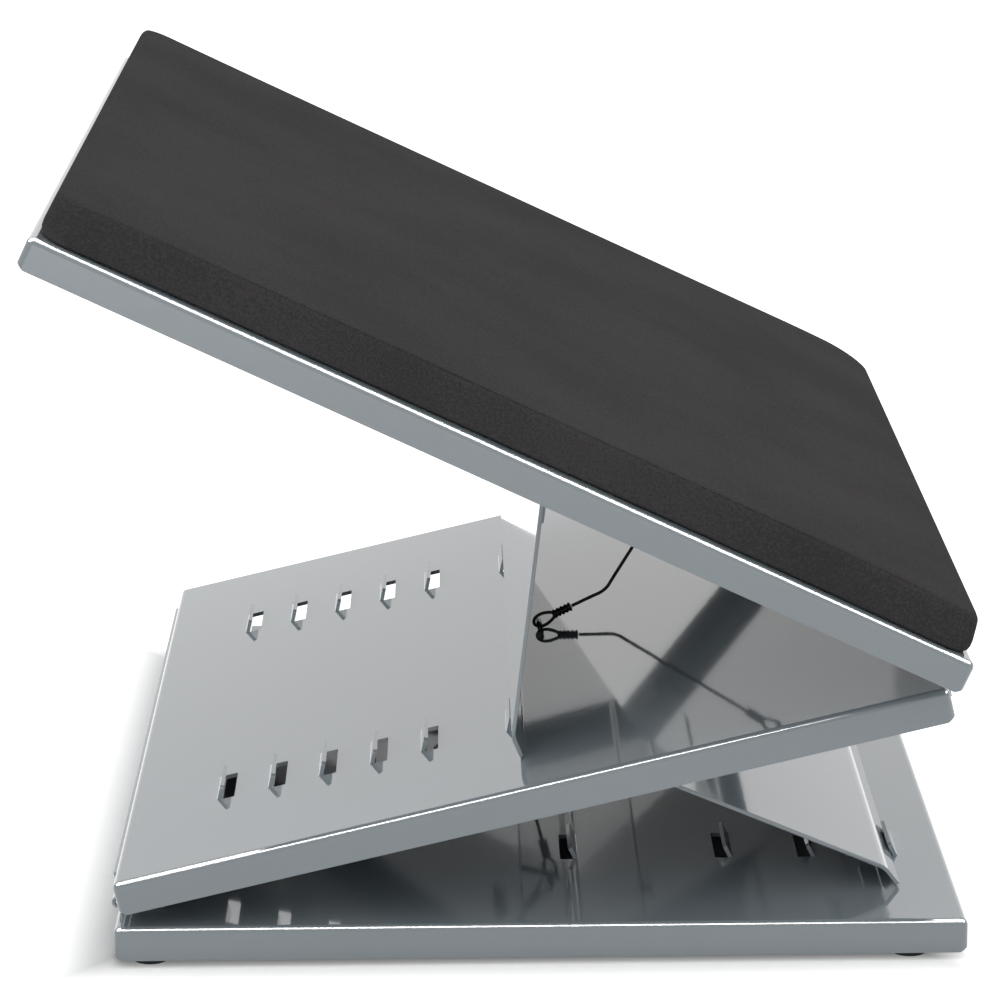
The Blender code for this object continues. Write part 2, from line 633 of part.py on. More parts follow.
def main():
    root = add_axis("footrest_frame", None, (0, 0, 0), 0)

    # Hinge and prop geometry: the trays' slopes follow from the props' sizes and slopes
    hinge_z = TRAY_HEIGHT + HINGE_OFFSET
    middle_top = BASE_HINGE_DROP + TRAY_HEIGHT
    lower_axis = (HINGE_OFFSET + LOWER_PROP_PLACE, middle_top - PROP_AXIS_DROP)
    lower_toe = toe_of(LOWER_PROP_LENGTH)
    lower_arm = math.hypot(*lower_axis)
    lower_leg = math.hypot(*lower_toe)

    base_roots = []
    slopes = []
    for slope in LOWER_SLOPES:
        rise = toe_height(slope) - HINGE_OFFSET + lower_leg * math.sin(slope)
        tilt = math.asin(rise / lower_arm)
        toe_x = lower_arm * math.cos(tilt) + lower_leg * math.cos(slope)
        base_roots.append(toe_x + tab_distance(slope))
        slopes.append(tilt - math.atan2(lower_axis[1], lower_axis[0]))
    middle_tilt = slopes[0]
    lower_turn = middle_tilt + LOWER_SLOPES[0] + math.atan2(lower_toe[1], lower_toe[0])

    top_z = TOP_HINGE_DROP + TRAY_HEIGHT
    upper_axis = (-TOP_HINGE_OFFSET - UPPER_PROP_PLACE, top_z - PROP_AXIS_DROP)
    upper_toe = toe_of(UPPER_PROP_LENGTH)
    upper_arm = math.hypot(*upper_axis)
    upper_leg = math.hypot(*upper_toe)
    rise = toe_height(UPPER_SLOPE) - TOP_HINGE_RISE + upper_leg * math.sin(UPPER_SLOPE)
    lift = math.asin(rise / upper_arm)
    top_turn = lift - math.atan2(upper_axis[1], -upper_axis[0])
    toe_x = -upper_arm * math.cos(lift) - upper_leg * math.cos(UPPER_SLOPE)
    top_hinge_x = 2 * HINGE_OFFSET + FRAME_LENGTH
    root_x = top_hinge_x + toe_x - tab_distance(UPPER_SLOPE)
    middle_roots = [root_x] + [root_x - UPPER_FIRST_STEP - UPPER_PITCH * k
                               for k in range(UPPER_SPARE_SETTINGS)]
    upper_turn = math.pi - UPPER_SLOPE - top_turn - math.atan2(upper_toe[1], upper_toe[0])

    # Axes
    hinge_place = (BASE_HINGE_INSET, 0, hinge_z)
    base_axis = add_axis("base_hinge_axis", root, hinge_place, -middle_tilt)
    base_still = add_axis("base_hinge_seat", root, hinge_place, 0)
    top_place = (top_hinge_x, 0, middle_top + TOP_HINGE_RISE)
    top_axis = add_axis("top_hinge_axis", base_axis, top_place, top_turn)
    top_still = add_axis("top_hinge_seat", base_axis, top_place, 0)
    lower_place = (lower_axis[0], 0, lower_axis[1])
    lower_prop_axis = add_axis("lower_prop_axis", base_axis, lower_place, lower_turn)
    lower_still = add_axis("lower_prop_seat", base_axis, lower_place, 0)
    upper_place = (upper_axis[0], 0, upper_axis[1])
    upper_prop_axis = add_axis("upper_prop_axis", top_axis, upper_place, upper_turn)
    upper_still = add_axis("upper_prop_seat", top_axis, upper_place, 0)

    # Trays
    base = add_tray("base_tray", root, (0, 0, 0), FRAME_LENGTH, FRAME_WIDTH)
    add_lances(base, base_roots, -1, TRAY_HEIGHT, BASE_HINGE_INSET)
    place = (HINGE_OFFSET, 0, BASE_HINGE_DROP)
    middle = add_tray("middle_tray", base_axis, place, FRAME_LENGTH, FRAME_WIDTH)
    add_lances(middle, middle_roots, 1, TRAY_HEIGHT, -HINGE_OFFSET)
    place = (-TOP_HINGE_OFFSET - TOP_LENGTH, 0, TOP_HINGE_DROP)
    add_tray("top_tray", top_axis, place, TOP_LENGTH, TOP_WIDTH)
    add_pad(top_axis, top_z + SEAM, -TOP_HINGE_OFFSET)

    # Piano hinges between the trays
    length = FRAME_WIDTH - 2 * HINGE_SIDE_INSET
    low = -BARREL_RADIUS + LEAF / 2
    hinge_leaf("base_hinge_base_leaf", base_still, [(0, low), (BASE_LEAF_REACH, low)],
               BARREL_RADIUS, length, True)
    hinge_leaf("base_hinge_tray_leaf", base_axis,
               [(-low, 0), (-low, BASE_HINGE_DROP + FLANGE_LEAF_REACH)],
               BARREL_RADIUS, length, False)
    hinge_pin("base_hinge_pin", base_still, length)
    hinge_leaf("top_hinge_middle_leaf", top_still,
               [(low, 0), (low, -TOP_HINGE_RISE - FLANGE_LEAF_REACH)],
               BARREL_RADIUS, length, True)
    joggle = SEAM + LEAF / 2 - TOP_HINGE_OFFSET
    hinge_leaf("top_hinge_top_leaf", top_axis,
               [(joggle, 0), (joggle, TOP_HINGE_DROP + FLANGE_LEAF_REACH)],
               BARREL_RADIUS, length, False)
    hinge_pin("top_hinge_pin", top_still, length)

    # Props
    add_prop("lower_prop", lower_prop_axis, LOWER_PROP_LENGTH, LOWER_PROP_WIDTH, 1)
    lower_leaf = add_prop_hinge("lower_prop_hinge", lower_still, lower_prop_axis, 1, LOWER_PROP_WIDTH)
    add_staple_window(lower_leaf, LOWER_STAPLE_TRAY - LOWER_PROP_PLACE)
    add_prop("upper_prop", upper_prop_axis, UPPER_PROP_LENGTH, UPPER_PROP_WIDTH, -1)
    add_prop_hinge("upper_prop_hinge", upper_still, upper_prop_axis, -1, UPPER_PROP_WIDTH)

    add_feet(root)

    # Stop cables
    lower_ends = (("base", root, LOWER_STAPLE_BASE, TRAY_HEIGHT, False),
                  ("tray", base_axis, HINGE_OFFSET + LOWER_STAPLE_TRAY, middle_top - SHEET, True))
    add_stop_cable("lower_cable", lower_ends, LOWER_END_SLOPES, LOWER_ROUTE).parent = root
    upper_ends = (("middle", base_axis, HINGE_OFFSET + UPPER_STAPLE_MIDDLE, middle_top, False),
                  ("top", top_axis, -TOP_HINGE_OFFSET - UPPER_STAPLE_TOP, top_z - SHEET, True))
    add_stop_cable("upper_cable", upper_ends, UPPER_END_SLOPES, UPPER_ROUTE).parent = root
    stand_on_origin(root)
    print("middle tray's slopes, degrees:", [round(math.degrees(a), 1) for a in slopes])


main()
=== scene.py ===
import json
import math

import bpy
from mathutils import Matrix, Vector


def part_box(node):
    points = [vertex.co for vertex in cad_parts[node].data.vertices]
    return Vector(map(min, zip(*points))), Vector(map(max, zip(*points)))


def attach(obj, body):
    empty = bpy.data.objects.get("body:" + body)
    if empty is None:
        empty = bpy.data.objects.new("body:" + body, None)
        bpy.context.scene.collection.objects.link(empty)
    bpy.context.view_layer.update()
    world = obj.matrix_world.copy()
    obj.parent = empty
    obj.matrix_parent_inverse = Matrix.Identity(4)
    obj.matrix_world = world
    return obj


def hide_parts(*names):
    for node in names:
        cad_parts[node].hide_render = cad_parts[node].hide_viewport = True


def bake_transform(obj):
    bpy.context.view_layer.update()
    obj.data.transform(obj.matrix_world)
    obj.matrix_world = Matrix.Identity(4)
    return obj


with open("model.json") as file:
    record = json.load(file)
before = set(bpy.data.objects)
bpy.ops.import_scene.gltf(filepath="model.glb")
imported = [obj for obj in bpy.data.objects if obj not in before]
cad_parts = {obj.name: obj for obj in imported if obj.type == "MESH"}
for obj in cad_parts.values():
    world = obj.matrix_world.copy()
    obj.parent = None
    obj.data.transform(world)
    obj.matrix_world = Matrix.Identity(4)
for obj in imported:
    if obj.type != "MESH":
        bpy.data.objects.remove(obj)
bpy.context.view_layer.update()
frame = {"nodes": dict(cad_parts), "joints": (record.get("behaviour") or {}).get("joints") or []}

# Point of view: a long lens a metre and a half in front of the near flanges, looking a little
# down on the trays, as a product is photographed from the side.
LENS_MM = 158.19
SENSOR_MM = 36.0
VIEW_PLACE = (-0.01724, -1.66821, 0.51632)
VIEW_DOWN = math.radians(13.41)
VIEW_TURN = math.radians(-0.54)
VIEW_ROLL = math.radians(-0.43)
VIEW_REACH = 20.0

bpy.ops.object.select_all(action="DESELECT")
bpy.ops.object.camera_add()
camera = bpy.context.object
camera.name = "side_view"
camera.data.sensor_width = SENSOR_MM
camera.data.lens = LENS_MM
camera.data.clip_end = VIEW_REACH
camera.matrix_world = (Matrix.Translation(VIEW_PLACE) @ Matrix.Rotation(VIEW_TURN, 4, "Z")
                       @ Matrix.Rotation(math.pi / 2 - VIEW_DOWN, 4, "X")
                       @ Matrix.Rotation(VIEW_ROLL, 4, "Z"))
bpy.context.scene.camera = camera
bpy.context.scene.view_settings.view_transform = "Standard"

# The frame's own slopes: each tray and prop lies turned about the hinge direction, and its turn
# is read from the largest flat face of its solid.
joints = {joint["name"]: Vector(joint["pos_m"]) for joint in frame["joints"]}


def turn_of(node):
    """The turn about +Y of a node's largest flat face, from facing straight up."""
    face = max(frame["nodes"][node].data.polygons, key=lambda polygon: polygon.area)
    normal = face.normal if face.normal.z > 0 else -face.normal
    return math.atan2(normal.x, normal.z)


def lying(pivot, turn):
    """The place of a piece that is modelled flat round its hinge and then turned about it."""
    return Matrix.Translation(pivot) @ Matrix.Rotation(turn, 4, "Y")


base_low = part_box("base_tray")[0]
base_corner = Vector((base_low.x, 0, base_low.z))
middle_turn = turn_of("middle_tray")
top_turn = turn_of("top_tray")
lower_prop_turn = turn_of("lower_prop")
upper_prop_turn = math.pi + turn_of("upper_prop")
base_place = Matrix.Translation(base_corner)
seat_place = lying(joints["base_hinge"], 0)
middle_place = lying(joints["base_hinge"], middle_turn)
top_seat_place = lying(joints["top_hinge"], middle_turn)
top_place = lying(joints["top_hinge"], top_turn)
lower_seat_place = lying(joints["lower_prop_hinge"], middle_turn)
lower_prop_place = lying(joints["lower_prop_hinge"], lower_prop_turn)
upper_seat_place = lying(joints["upper_prop_hinge"], top_turn)
upper_prop_place = lying(joints["upper_prop_hinge"], upper_prop_turn)

# Stop cables: two thin black-jacketed wire ropes on the middle line, which stop the trays from
# opening too far. Each ends in a crimped loop that hangs on a wire staple welded to the sheet.
# The upper cable is nearly taut, and the lower one lies slack on the base.
CABLE_RADIUS = 0.00065
CABLE_STEP = 0.0011
CABLE_ROUNDNESS = 6
ROUTE_FINENESS = 24
JACKET_BLACK = (0.012, 0.012, 0.013, 1.0)
SHEET = 0.0015
SEAM = 0.0003
TRAY_HEIGHT = 0.012
HINGE_OFFSET = 0.0025
BASE_HINGE_DROP = 0.0014
TOP_HINGE_DROP = 0.0020
TOP_HINGE_OFFSET = 0.0016
LOOP_LENGTH = 0.0095
LOOP_WIDTH = 0.0058
LOOP_STEPS = 48
LOOP_PINCH = 0.7
LOOP_TUCK = 0.0015
FERRULE_LENGTH = 0.0080
FERRULE_RADIUS = 0.0018
FERRULE_TEETH = 5
FERRULE_SIDES = 32
CRIMP_DEPTH = 0.78
CRIMP_TOOTH = ((0.86, 1.0), (0.46, 1.0), (0.32, CRIMP_DEPTH), (0.0, CRIMP_DEPTH))
STAPLE_WIRE = 0.0009
STAPLE_WIDTH = 0.0090
STAPLE_HEIGHT = 0.0029
STAPLE_BEND_STEPS = 6
STAPLE_ROUNDNESS = 5
LOWER_STAPLE_BASE = 0.146
LOWER_STAPLE_TRAY = 0.1615
UPPER_STAPLE_MIDDLE = 0.1585
UPPER_STAPLE_TOP = 0.086
LOWER_END_SLOPES = (math.radians(172), math.radians(-105))
UPPER_END_SLOPES = (math.radians(25.6), math.radians(-122))
LOWER_ROUTE = [(0.1190, 0.0009, 0.0141), (0.1122, 0.0073, 0.0132), (0.1170, 0.0158, 0.0132),
               (0.1313, 0.0165, 0.0153), (0.1445, 0.0085, 0.0233), (0.1508, 0.0013, 0.0350)]
UPPER_ROUTE = [(0.1741, 0, 0.0769), (0.1779, 0, 0.0787), (0.1805, 0, 0.0810),
               (0.1827, 0, 0.0846), (0.1900, 0, 0.0963), (0.2010, 0, 0.1140)]
MERGE_WITHIN = 0.00001
WIRE_SMOOTH = math.radians(50)
FITTING_SMOOTH = math.radians(40)
TURNED_SMOOTH = math.radians(35)
GRAIN_SCALE = 900.0
GRAIN_DETAIL = 3.0
DRIFT_SCALE = 14.0
DRIFT_DETAIL = 4.0
DARK_BELOW = 0.3
LIGHT_ABOVE = 0.7


def shader_of(material):
    """A material's Principled shader."""
    return material.node_tree.nodes["Principled BSDF"]


def plain_material(name, colour, roughness, metallic=0.0):
    """A named material with its Principled shader set, ready for a pattern."""
    material = bpy.data.materials.new(name)
    material.use_nodes = True
    shader = shader_of(material)
    shader.inputs["Base Color"].default_value = colour
    shader.inputs["Roughness"].default_value = roughness
    shader.inputs["Metallic"].default_value = metallic
    return material


def grain_group():
    """Fine noise: a height for bumps and a mask round one half for colour and roughness."""
    group = bpy.data.node_groups.new("fine_grain", "ShaderNodeTree")
    for label, value in (("Scale", GRAIN_SCALE), ("Detail", GRAIN_DETAIL)):
        socket = group.interface.new_socket(name=label, in_out="INPUT", socket_type="NodeSocketFloat")
        socket.default_value = value
    for label in ("Height", "Mask"):
        group.interface.new_socket(name=label, in_out="OUTPUT", socket_type="NodeSocketFloat")
    start = group.nodes.new("NodeGroupInput")
    end = group.nodes.new("NodeGroupOutput")
    place = group.nodes.new("ShaderNodeTexCoord")
    fine = group.nodes.new("ShaderNodeTexNoise")
    coarse = group.nodes.new("ShaderNodeTexNoise")
    coarse.inputs["Scale"].default_value = DRIFT_SCALE
    coarse.inputs["Detail"].default_value = DRIFT_DETAIL
    for noise in (fine, coarse):
        group.links.new(place.outputs["Object"], noise.inputs["Vector"])
    group.links.new(start.outputs["Scale"], fine.inputs["Scale"])
    group.links.new(start.outputs["Detail"], fine.inputs["Detail"])
    group.links.new(fine.outputs["Fac"], end.inputs["Height"])
    group.links.new(coarse.outputs["Fac"], end.inputs["Mask"])
    return group


FINE_GRAIN = grain_group()


def spread(tree, value, low, high):
    """Carries a value between zero and one over to a range, and returns the new output."""
    node = tree.nodes.new("ShaderNodeMapRange")
    node.inputs["To Min"].default_value = low
    node.inputs["To Max"].default_value = high
    tree.links.new(value, node.inputs["Value"])
    return node.outputs["Result"]


def combine(tree, operation, first, second):
    """Works two values together in a math node, and returns the new output."""
    node = tree.nodes.new("ShaderNodeMath")
    node.operation = operation
    tree.links.new(first, node.inputs[0])
    tree.links.new(second, node.inputs[1])
    return node.outputs["Value"]


def add_grain(material, scale, bump, reach, roughness=None, shades=None, speckle=0.0):
    """Gives a material its fine bump, and lets roughness or colour drift over the surface."""
    tree = material.node_tree
    shader = shader_of(material)
    grain = tree.nodes.new("ShaderNodeGroup")
    grain.node_tree = FINE_GRAIN
    grain.inputs["Scale"].default_value = scale
    raised = tree.nodes.new("ShaderNodeBump")
    raised.inputs["Strength"].default_value = bump
    raised.inputs["Distance"].default_value = reach
    tree.links.new(grain.outputs["Height"], raised.inputs["Height"])
    tree.links.new(raised.outputs["Normal"], shader.inputs["Normal"])
    if roughness:
        uneven = spread(tree, grain.outputs["Mask"], *roughness)
        tree.links.new(uneven, shader.inputs["Roughness"])
    if shades:
        drift = grain.outputs["Mask"]
        if speckle:
            specks = spread(tree, grain.outputs["Height"], -speckle, speckle)
            drift = combine(tree, "ADD", drift, specks)
        ramp = tree.nodes.new("ShaderNodeValToRGB")
        for element, position, shade in zip(ramp.color_ramp.elements, (DARK_BELOW, LIGHT_ABOVE), shades):
            element.position = position
            element.color = shade
        tree.links.new(drift, ramp.inputs["Fac"])
        tree.links.new(ramp.outputs["Color"], shader.inputs["Base Color"])
    return material


jacket_black = add_grain(plain_material("cable_jacket_black", JACKET_BLACK, roughness=0.45),
                         scale=2500, bump=0.25, reach=0.0002)
fitting_black = add_grain(plain_material("fitting_black", JACKET_BLACK, roughness=0.32, metallic=0.4),
                          scale=1500, bump=0.15, reach=0.0002, roughness=(0.26, 0.42))


def only(obj):
    """Leaves one object selected and active."""
    bpy.ops.object.select_all(action="DESELECT")
    obj.select_set(True)
    bpy.context.view_layer.objects.active = obj


def pick(obj, kind, test):
    """Opens edit mode with just the vertices, edges or faces that pass the test selected."""
    only(obj)
    bpy.ops.object.mode_set(mode="EDIT")
    bpy.ops.mesh.select_mode(type=kind)
    bpy.ops.mesh.select_all(action="DESELECT")
    bpy.ops.object.mode_set(mode="OBJECT")
    items = {"VERT": obj.data.vertices, "EDGE": obj.data.edges, "FACE": obj.data.polygons}[kind]
    for item in items:
        item.select = test(item)
    bpy.ops.object.mode_set(mode="EDIT")


def shape(obj, kind, test, operator, **settings):
    """Runs one edit-mode operator on the vertices, edges or faces that pass the test."""
    pick(obj, kind, test)
    operator(**settings)
    bpy.ops.object.mode_set(mode="OBJECT")


def point_out(obj):
    """Turns the faces of a closed piece outwards."""
    shape(obj, "FACE", lambda face: True, bpy.ops.mesh.normals_make_consistent, inside=False)


def close_up(obj):
    """Merges a piece's doubled points and turns its faces outwards."""
    shape(obj, "VERT", lambda vertex: True, bpy.ops.mesh.remove_doubles, threshold=MERGE_WITHIN)
    point_out(obj)


def smooth_below(obj, angle):
    """Shades a piece smooth wherever its faces meet at less than an angle."""
    only(obj)
    bpy.ops.object.shade_smooth_by_angle(angle=angle)


def apply_all(obj):
    """Applies every modifier of a piece in order."""
    only(obj)
    for modifier in list(obj.modifiers):
        bpy.ops.object.modifier_apply(modifier=modifier.name)


def discard(*patterns):
    """Removes meshes that were only there to cut, join or copy."""
    for pattern in patterns:
        bpy.data.objects.remove(pattern, do_unlink=True)


def join_by(obj, other, operation):
    """Cuts or joins another mesh into a piece and removes that mesh."""
    modifier = obj.modifiers.new(operation, "BOOLEAN")
    modifier.operation = operation
    modifier.solver = "EXACT"
    modifier.object = other
    apply_all(obj)
    discard(other)


def copy_of(pattern, place=Matrix()):
    """A copy of a modelled piece with its own mesh, moved to its place."""
    copy = pattern.copy()
    copy.data = pattern.data.copy()
    copy.data.transform(place)
    bpy.context.scene.collection.objects.link(copy)
    return copy


def finish_piece(piece, name, material, node, body=None, place=Matrix()):
    """Bakes a piece's place into its mesh, paints it, names it, seats it on its body and hides the part
    it stands for.
    """
    piece.data.transform(place)
    piece.data.update()
    piece.name = name
    piece.data.name = name
    piece.data.materials.clear()
    piece.data.materials.append(material)
    if body:
        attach(piece, body)
    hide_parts(node)


def smooth_route(points, spacing):
    """Points at even spacing on a smooth curve through the route's own points, and its length."""
    route = [Vector(point) for point in points]
    padded = [2 * route[0] - route[1]] + route + [2 * route[-1] - route[-2]]
    fine = []
    for a, b, c, d in zip(padded, padded[1:], padded[2:], padded[3:]):
        for step in range(ROUTE_FINENESS):
            t = step / ROUTE_FINENESS
            fine.append(0.5 * (2 * b + (c - a) * t + (2 * a - 5 * b + 4 * c - d) * t * t
                               + (3 * b - 3 * c + d - a) * t ** 3))
    fine.append(route[-1])
    lengths = [0.0]
    for first, second in zip(fine, fine[1:]):
        lengths.append(lengths[-1] + (second - first).length)
    count = max(2, round(lengths[-1] / spacing))
    result = []
    index = 0
    for step in range(count + 1):
        goal = lengths[-1] * step / count
        while index < len(fine) - 2 and lengths[index + 1] < goal:
            index += 1
        span = lengths[index + 1] - lengths[index]
        share = (goal - lengths[index]) / span if span else 0
        result.append(fine[index].lerp(fine[index + 1], share))
    return result, lengths[-1]


def tube_along(points, radius, roundness, cyclic=False):
    """A round tube along points, made as a bevelled curve and turned into a closed mesh."""
    curve = bpy.data.curves.new("tube", "CURVE")
    curve.dimensions = "3D"
    curve.bevel_depth = radius
    curve.bevel_resolution = roundness
    curve.use_fill_caps = True
    spline = curve.splines.new("POLY")
    spline.points.add(len(points) - 1)
    for point, place in zip(spline.points, points):
        point.co = (*place, 1)
    spline.use_cyclic_u = cyclic
    tube = bpy.data.objects.new("tube", curve)
    bpy.context.scene.collection.objects.link(tube)
    only(tube)
    bpy.ops.object.convert(target="MESH")
    tube = bpy.context.object
    close_up(tube)
    smooth_below(tube, WIRE_SMOOTH)
    return tube


def spin_profile(profile, sides, closed=False):
    """A turned piece: its outline spun round Z, closed and facing out."""
    mesh = bpy.data.meshes.new("turned")
    count = len(profile)
    edges = [(i, i + 1) for i in range(count - 1)] + ([(count - 1, 0)] if closed else [])
    mesh.from_pydata([(r, 0, z) for r, z in profile], edges, [])
    turned = bpy.data.objects.new("turned", mesh)
    bpy.context.scene.collection.objects.link(turned)
    shape(turned, "VERT", lambda vertex: True, bpy.ops.mesh.spin, steps=sides, angle=2 * math.pi,
          center=(0, 0, 0), axis=(0, 0, 1))
    close_up(turned)
    smooth_below(turned, TURNED_SMOOTH)
    return turned


def bent_staple():
    """A bent wire staple: two legs on the sheet and a bridge that the cable's loop hangs on."""
    half = STAPLE_WIDTH / 2
    bend = 2 * STAPLE_WIRE
    points = [Vector((0, -half, SEAM)), Vector((0, -half, STAPLE_HEIGHT - bend))]
    for step in range(1, STAPLE_BEND_STEPS + 1):
        a = step / STAPLE_BEND_STEPS * math.pi / 2
        points.append(Vector((0, -half + bend * (1 - math.cos(a)),
                              STAPLE_HEIGHT - bend * (1 - math.sin(a)))))
    points += [Vector((p.x, -p.y, p.z)) for p in reversed(points)]
    return tube_along(points, STAPLE_WIRE, STAPLE_ROUNDNESS)


def crimped_loop():
    """The cable's end: a loop round the staple's bridge, pinched into a grooved crimp ferrule."""
    start = STAPLE_WIRE + CABLE_RADIUS + SEAM
    points = []
    for step in range(LOOP_STEPS):
        a = 2 * math.pi * step / LOOP_STEPS
        swell = abs(math.sin(a / 2)) ** LOOP_PINCH
        points.append(Vector((-start + LOOP_LENGTH * (1 + math.cos(a)) / 2, 0,
                              LOOP_WIDTH / 2 * math.sin(a) * swell)))
    loop = tube_along(points, CABLE_RADIUS, CABLE_ROUNDNESS, cyclic=True)
    outline = [(0, FERRULE_LENGTH), (FERRULE_RADIUS * CRIMP_DEPTH, FERRULE_LENGTH)]
    for tooth in reversed(range(FERRULE_TEETH)):
        for share, radius in CRIMP_TOOTH:
            height = (tooth + share) / FERRULE_TEETH
            outline.append((FERRULE_RADIUS * radius, FERRULE_LENGTH * height))
    outline.append((0, 0))
    ferrule = spin_profile(outline, FERRULE_SIDES)
    low = LOOP_LENGTH - start - LOOP_TUCK
    ferrule.data.transform(Matrix.Translation((low, 0, 0)) @ Matrix.Rotation(math.pi / 2, 4, "Y"))
    join_by(loop, ferrule, "UNION")
    smooth_below(loop, FITTING_SMOOTH)
    return loop


def add_stop_cable(name, ends, slopes, route):
    """A staple and a loop at each end, the second under its sheet, then the stretch between."""
    reach = LOOP_LENGTH - STAPLE_WIRE - CABLE_RADIUS - LOOP_TUCK + FERRULE_LENGTH
    tips = []
    for (label, body, place, foot), slope, turn in zip(ends, slopes, (0, math.pi)):
        stand = place @ Matrix.Translation(foot) @ Matrix.Rotation(turn, 4, "Y")
        finish_piece(copy_of(staple), f"{name}_{label}_staple_wire", fitting_black,
                     f"{name}_{label}_staple", body, stand)
        bridge = stand @ Vector((0, 0, STAPLE_HEIGHT))
        aimed = Matrix.Translation(bridge) @ Matrix.Rotation(-slope, 4, "Y")
        finish_piece(copy_of(loop), f"{name}_{label}_crimped_loop", fitting_black,
                     f"{name}_{label}_loop", body, aimed)
        along = Vector((math.cos(slope), 0, math.sin(slope)))
        tips.append((bridge + along * reach, along))
    lead = 2 * CABLE_RADIUS
    (first, first_way), (last, last_way) = tips
    points = [first, first + first_way * lead] + [base_corner + Vector(point) for point in route]
    points += [last + last_way * lead, last]
    path, length = smooth_route(points, CABLE_STEP)
    cable = tube_along(path, CABLE_RADIUS, CABLE_ROUNDNESS)
    finish_piece(cable, f"{name}_jacket", jacket_black, name)
    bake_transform(cable)


staple = bent_staple()
loop = crimped_loop()
add_stop_cable(
    "lower_cable",
    (("base", "base", base_place, (LOWER_STAPLE_BASE, 0, TRAY_HEIGHT)),
     ("tray", "middle", middle_place,
      (HINGE_OFFSET + LOWER_STAPLE_TRAY, 0, BASE_HINGE_DROP + TRAY_HEIGHT - SHEET))),
    LOWER_END_SLOPES, LOWER_ROUTE)
add_stop_cable(
    "upper_cable",
    (("middle", "middle", middle_place,
      (HINGE_OFFSET + UPPER_STAPLE_MIDDLE, 0, BASE_HINGE_DROP + TRAY_HEIGHT)),
     ("top", "top", top_place,
      (-TOP_HINGE_OFFSET - UPPER_STAPLE_TOP, 0, TOP_HINGE_DROP + TRAY_HEIGHT - SHEET))),
    UPPER_END_SLOPES, UPPER_ROUTE)
discard(staple, loop)

# Trays: one blank of sheet each, with four flanges pressed down round a small bend and welded at
# the corners, then stove-enamelled glossy grey. The two lower ones have pairs of tabs lanced up
# out of their tops, in two rows, for the prop that stands on them.
FRAME_LENGTH = 0.300
FRAME_WIDTH = 0.410
TOP_LENGTH = 0.3525
TOP_WIDTH = 0.450
BEND_RADIUS = 0.0026
BEND_STEPS = 10
CORNER_ROUND = 0.0052
CORNER_STEPS = 8
CORNER_STRETCH = 4
BLOCK_MARGIN = 0.001
RIM_SOFTNESS = 0.0003
LANCE_LENGTH = 0.0295
LANCE_HEIGHT = 0.0045
LANCE_SHEET = SHEET - SEAM / 3
LANCE_SLOT = 0.0048
LANCE_LEAN = math.radians(26)
LANCE_BEND = 0.55 * SHEET
LANCE_ROW = 0.117
LANCE_SEAT = 0.0022
LANCE_CORNER = 0.0015
LANCE_STEPS = 5
SLOT_CORNER = 0.0005
SLOT_STEPS = 4
BASE_ROOTS = (0.2802, 0.2678, 0.2501, 0.2197, 0.1629)
MIDDLE_ROOTS = (0.1447, 0.1127, 0.0936, 0.0744, 0.0553, 0.0361)
BASE_HINGE_INSET = 0.0003
INWARD = -1
BOTH_WAYS = 0
EDGE_STEPS = 2
SHARP_ABOVE = math.radians(50)
SHEET_SMOOTH = math.radians(30)
FLAT_WEIGHT = 80
PAINT_GREY = (0.280, 0.325, 0.352, 1.0)
DEEPER_SHADE = 0.96
SMOOTHER_PATCH = 0.8
ROUGHER_PATCH = 1.25


def paint(name, roughness):
    """Stove enamel: a clear hard skin over grey pigment, with a fine ripple and a faint drift."""
    material = plain_material(name, PAINT_GREY, roughness)
    shader = shader_of(material)
    shader.inputs["IOR"].default_value = 1.52
    shader.inputs["Coat Weight"].default_value = 0.6
    shader.inputs["Coat Roughness"].default_value = 0.03
    deep = tuple(channel * DEEPER_SHADE for channel in PAINT_GREY[:3]) + (1.0,)
    return add_grain(material, scale=260, bump=0.03, reach=0.0004, shades=(deep, PAINT_GREY),
                     roughness=(roughness * SMOOTHER_PATCH, roughness * ROUGHER_PATCH))


tray_paint = paint("tray_paint_grey", roughness=0.06)


def add_block(low, high):
    """A box between two corners, unrotated and unscaled."""
    middle = [(a + b) / 2 for a, b in zip(low, high)]
    bpy.ops.object.select_all(action="DESELECT")
    bpy.ops.mesh.primitive_cube_add(size=1, location=middle)
    block = bpy.context.object
    block.scale = [b - a for a, b in zip(low, high)]
    bpy.ops.object.transform_apply(location=True, rotation=True, scale=True)
    return block


def add_strip(long, wide, middle=(0, 0, 0)):
    """A flat rectangle facing up, unrotated and unscaled."""
    bpy.ops.object.select_all(action="DESELECT")
    bpy.ops.mesh.primitive_plane_add(size=1, location=middle)
    strip = bpy.context.object
    strip.scale = (long, wide, 1)
    bpy.ops.object.transform_apply(location=True, rotation=True, scale=True)
    return strip


def edge_ends(obj, edge):
    """The places of an edge's two ends."""
    return [obj.data.vertices[i].co for i in edge.vertices]


def thicken(obj, thickness, offset, even):
    """Grows a surface into a sheet with a wall."""
    sheet = obj.modifiers.new("sheet", "SOLIDIFY")
    sheet.thickness = thickness
    sheet.offset = offset
    sheet.use_even_offset = even
    apply_all(obj)


def soften(obj, width):
    """Takes the raw edge off a piece."""
    edges = obj.modifiers.new("edges", "BEVEL")
    edges.width = width
    edges.segments = EDGE_STEPS
    edges.limit_method = "ANGLE"
    edges.angle_limit = SHARP_ABOVE
    apply_all(obj)


def level_shading(obj):
    """Keeps big flat faces flat to the eye and lets the bends between them run smooth."""
    smooth_below(obj, SHEET_SMOOTH)
    weighted = obj.modifiers.new("weighted", "WEIGHTED_NORMAL")
    weighted.mode = "FACE_AREA"
    weighted.weight = FLAT_WEIGHT
    weighted.keep_sharp = True
    apply_all(obj)


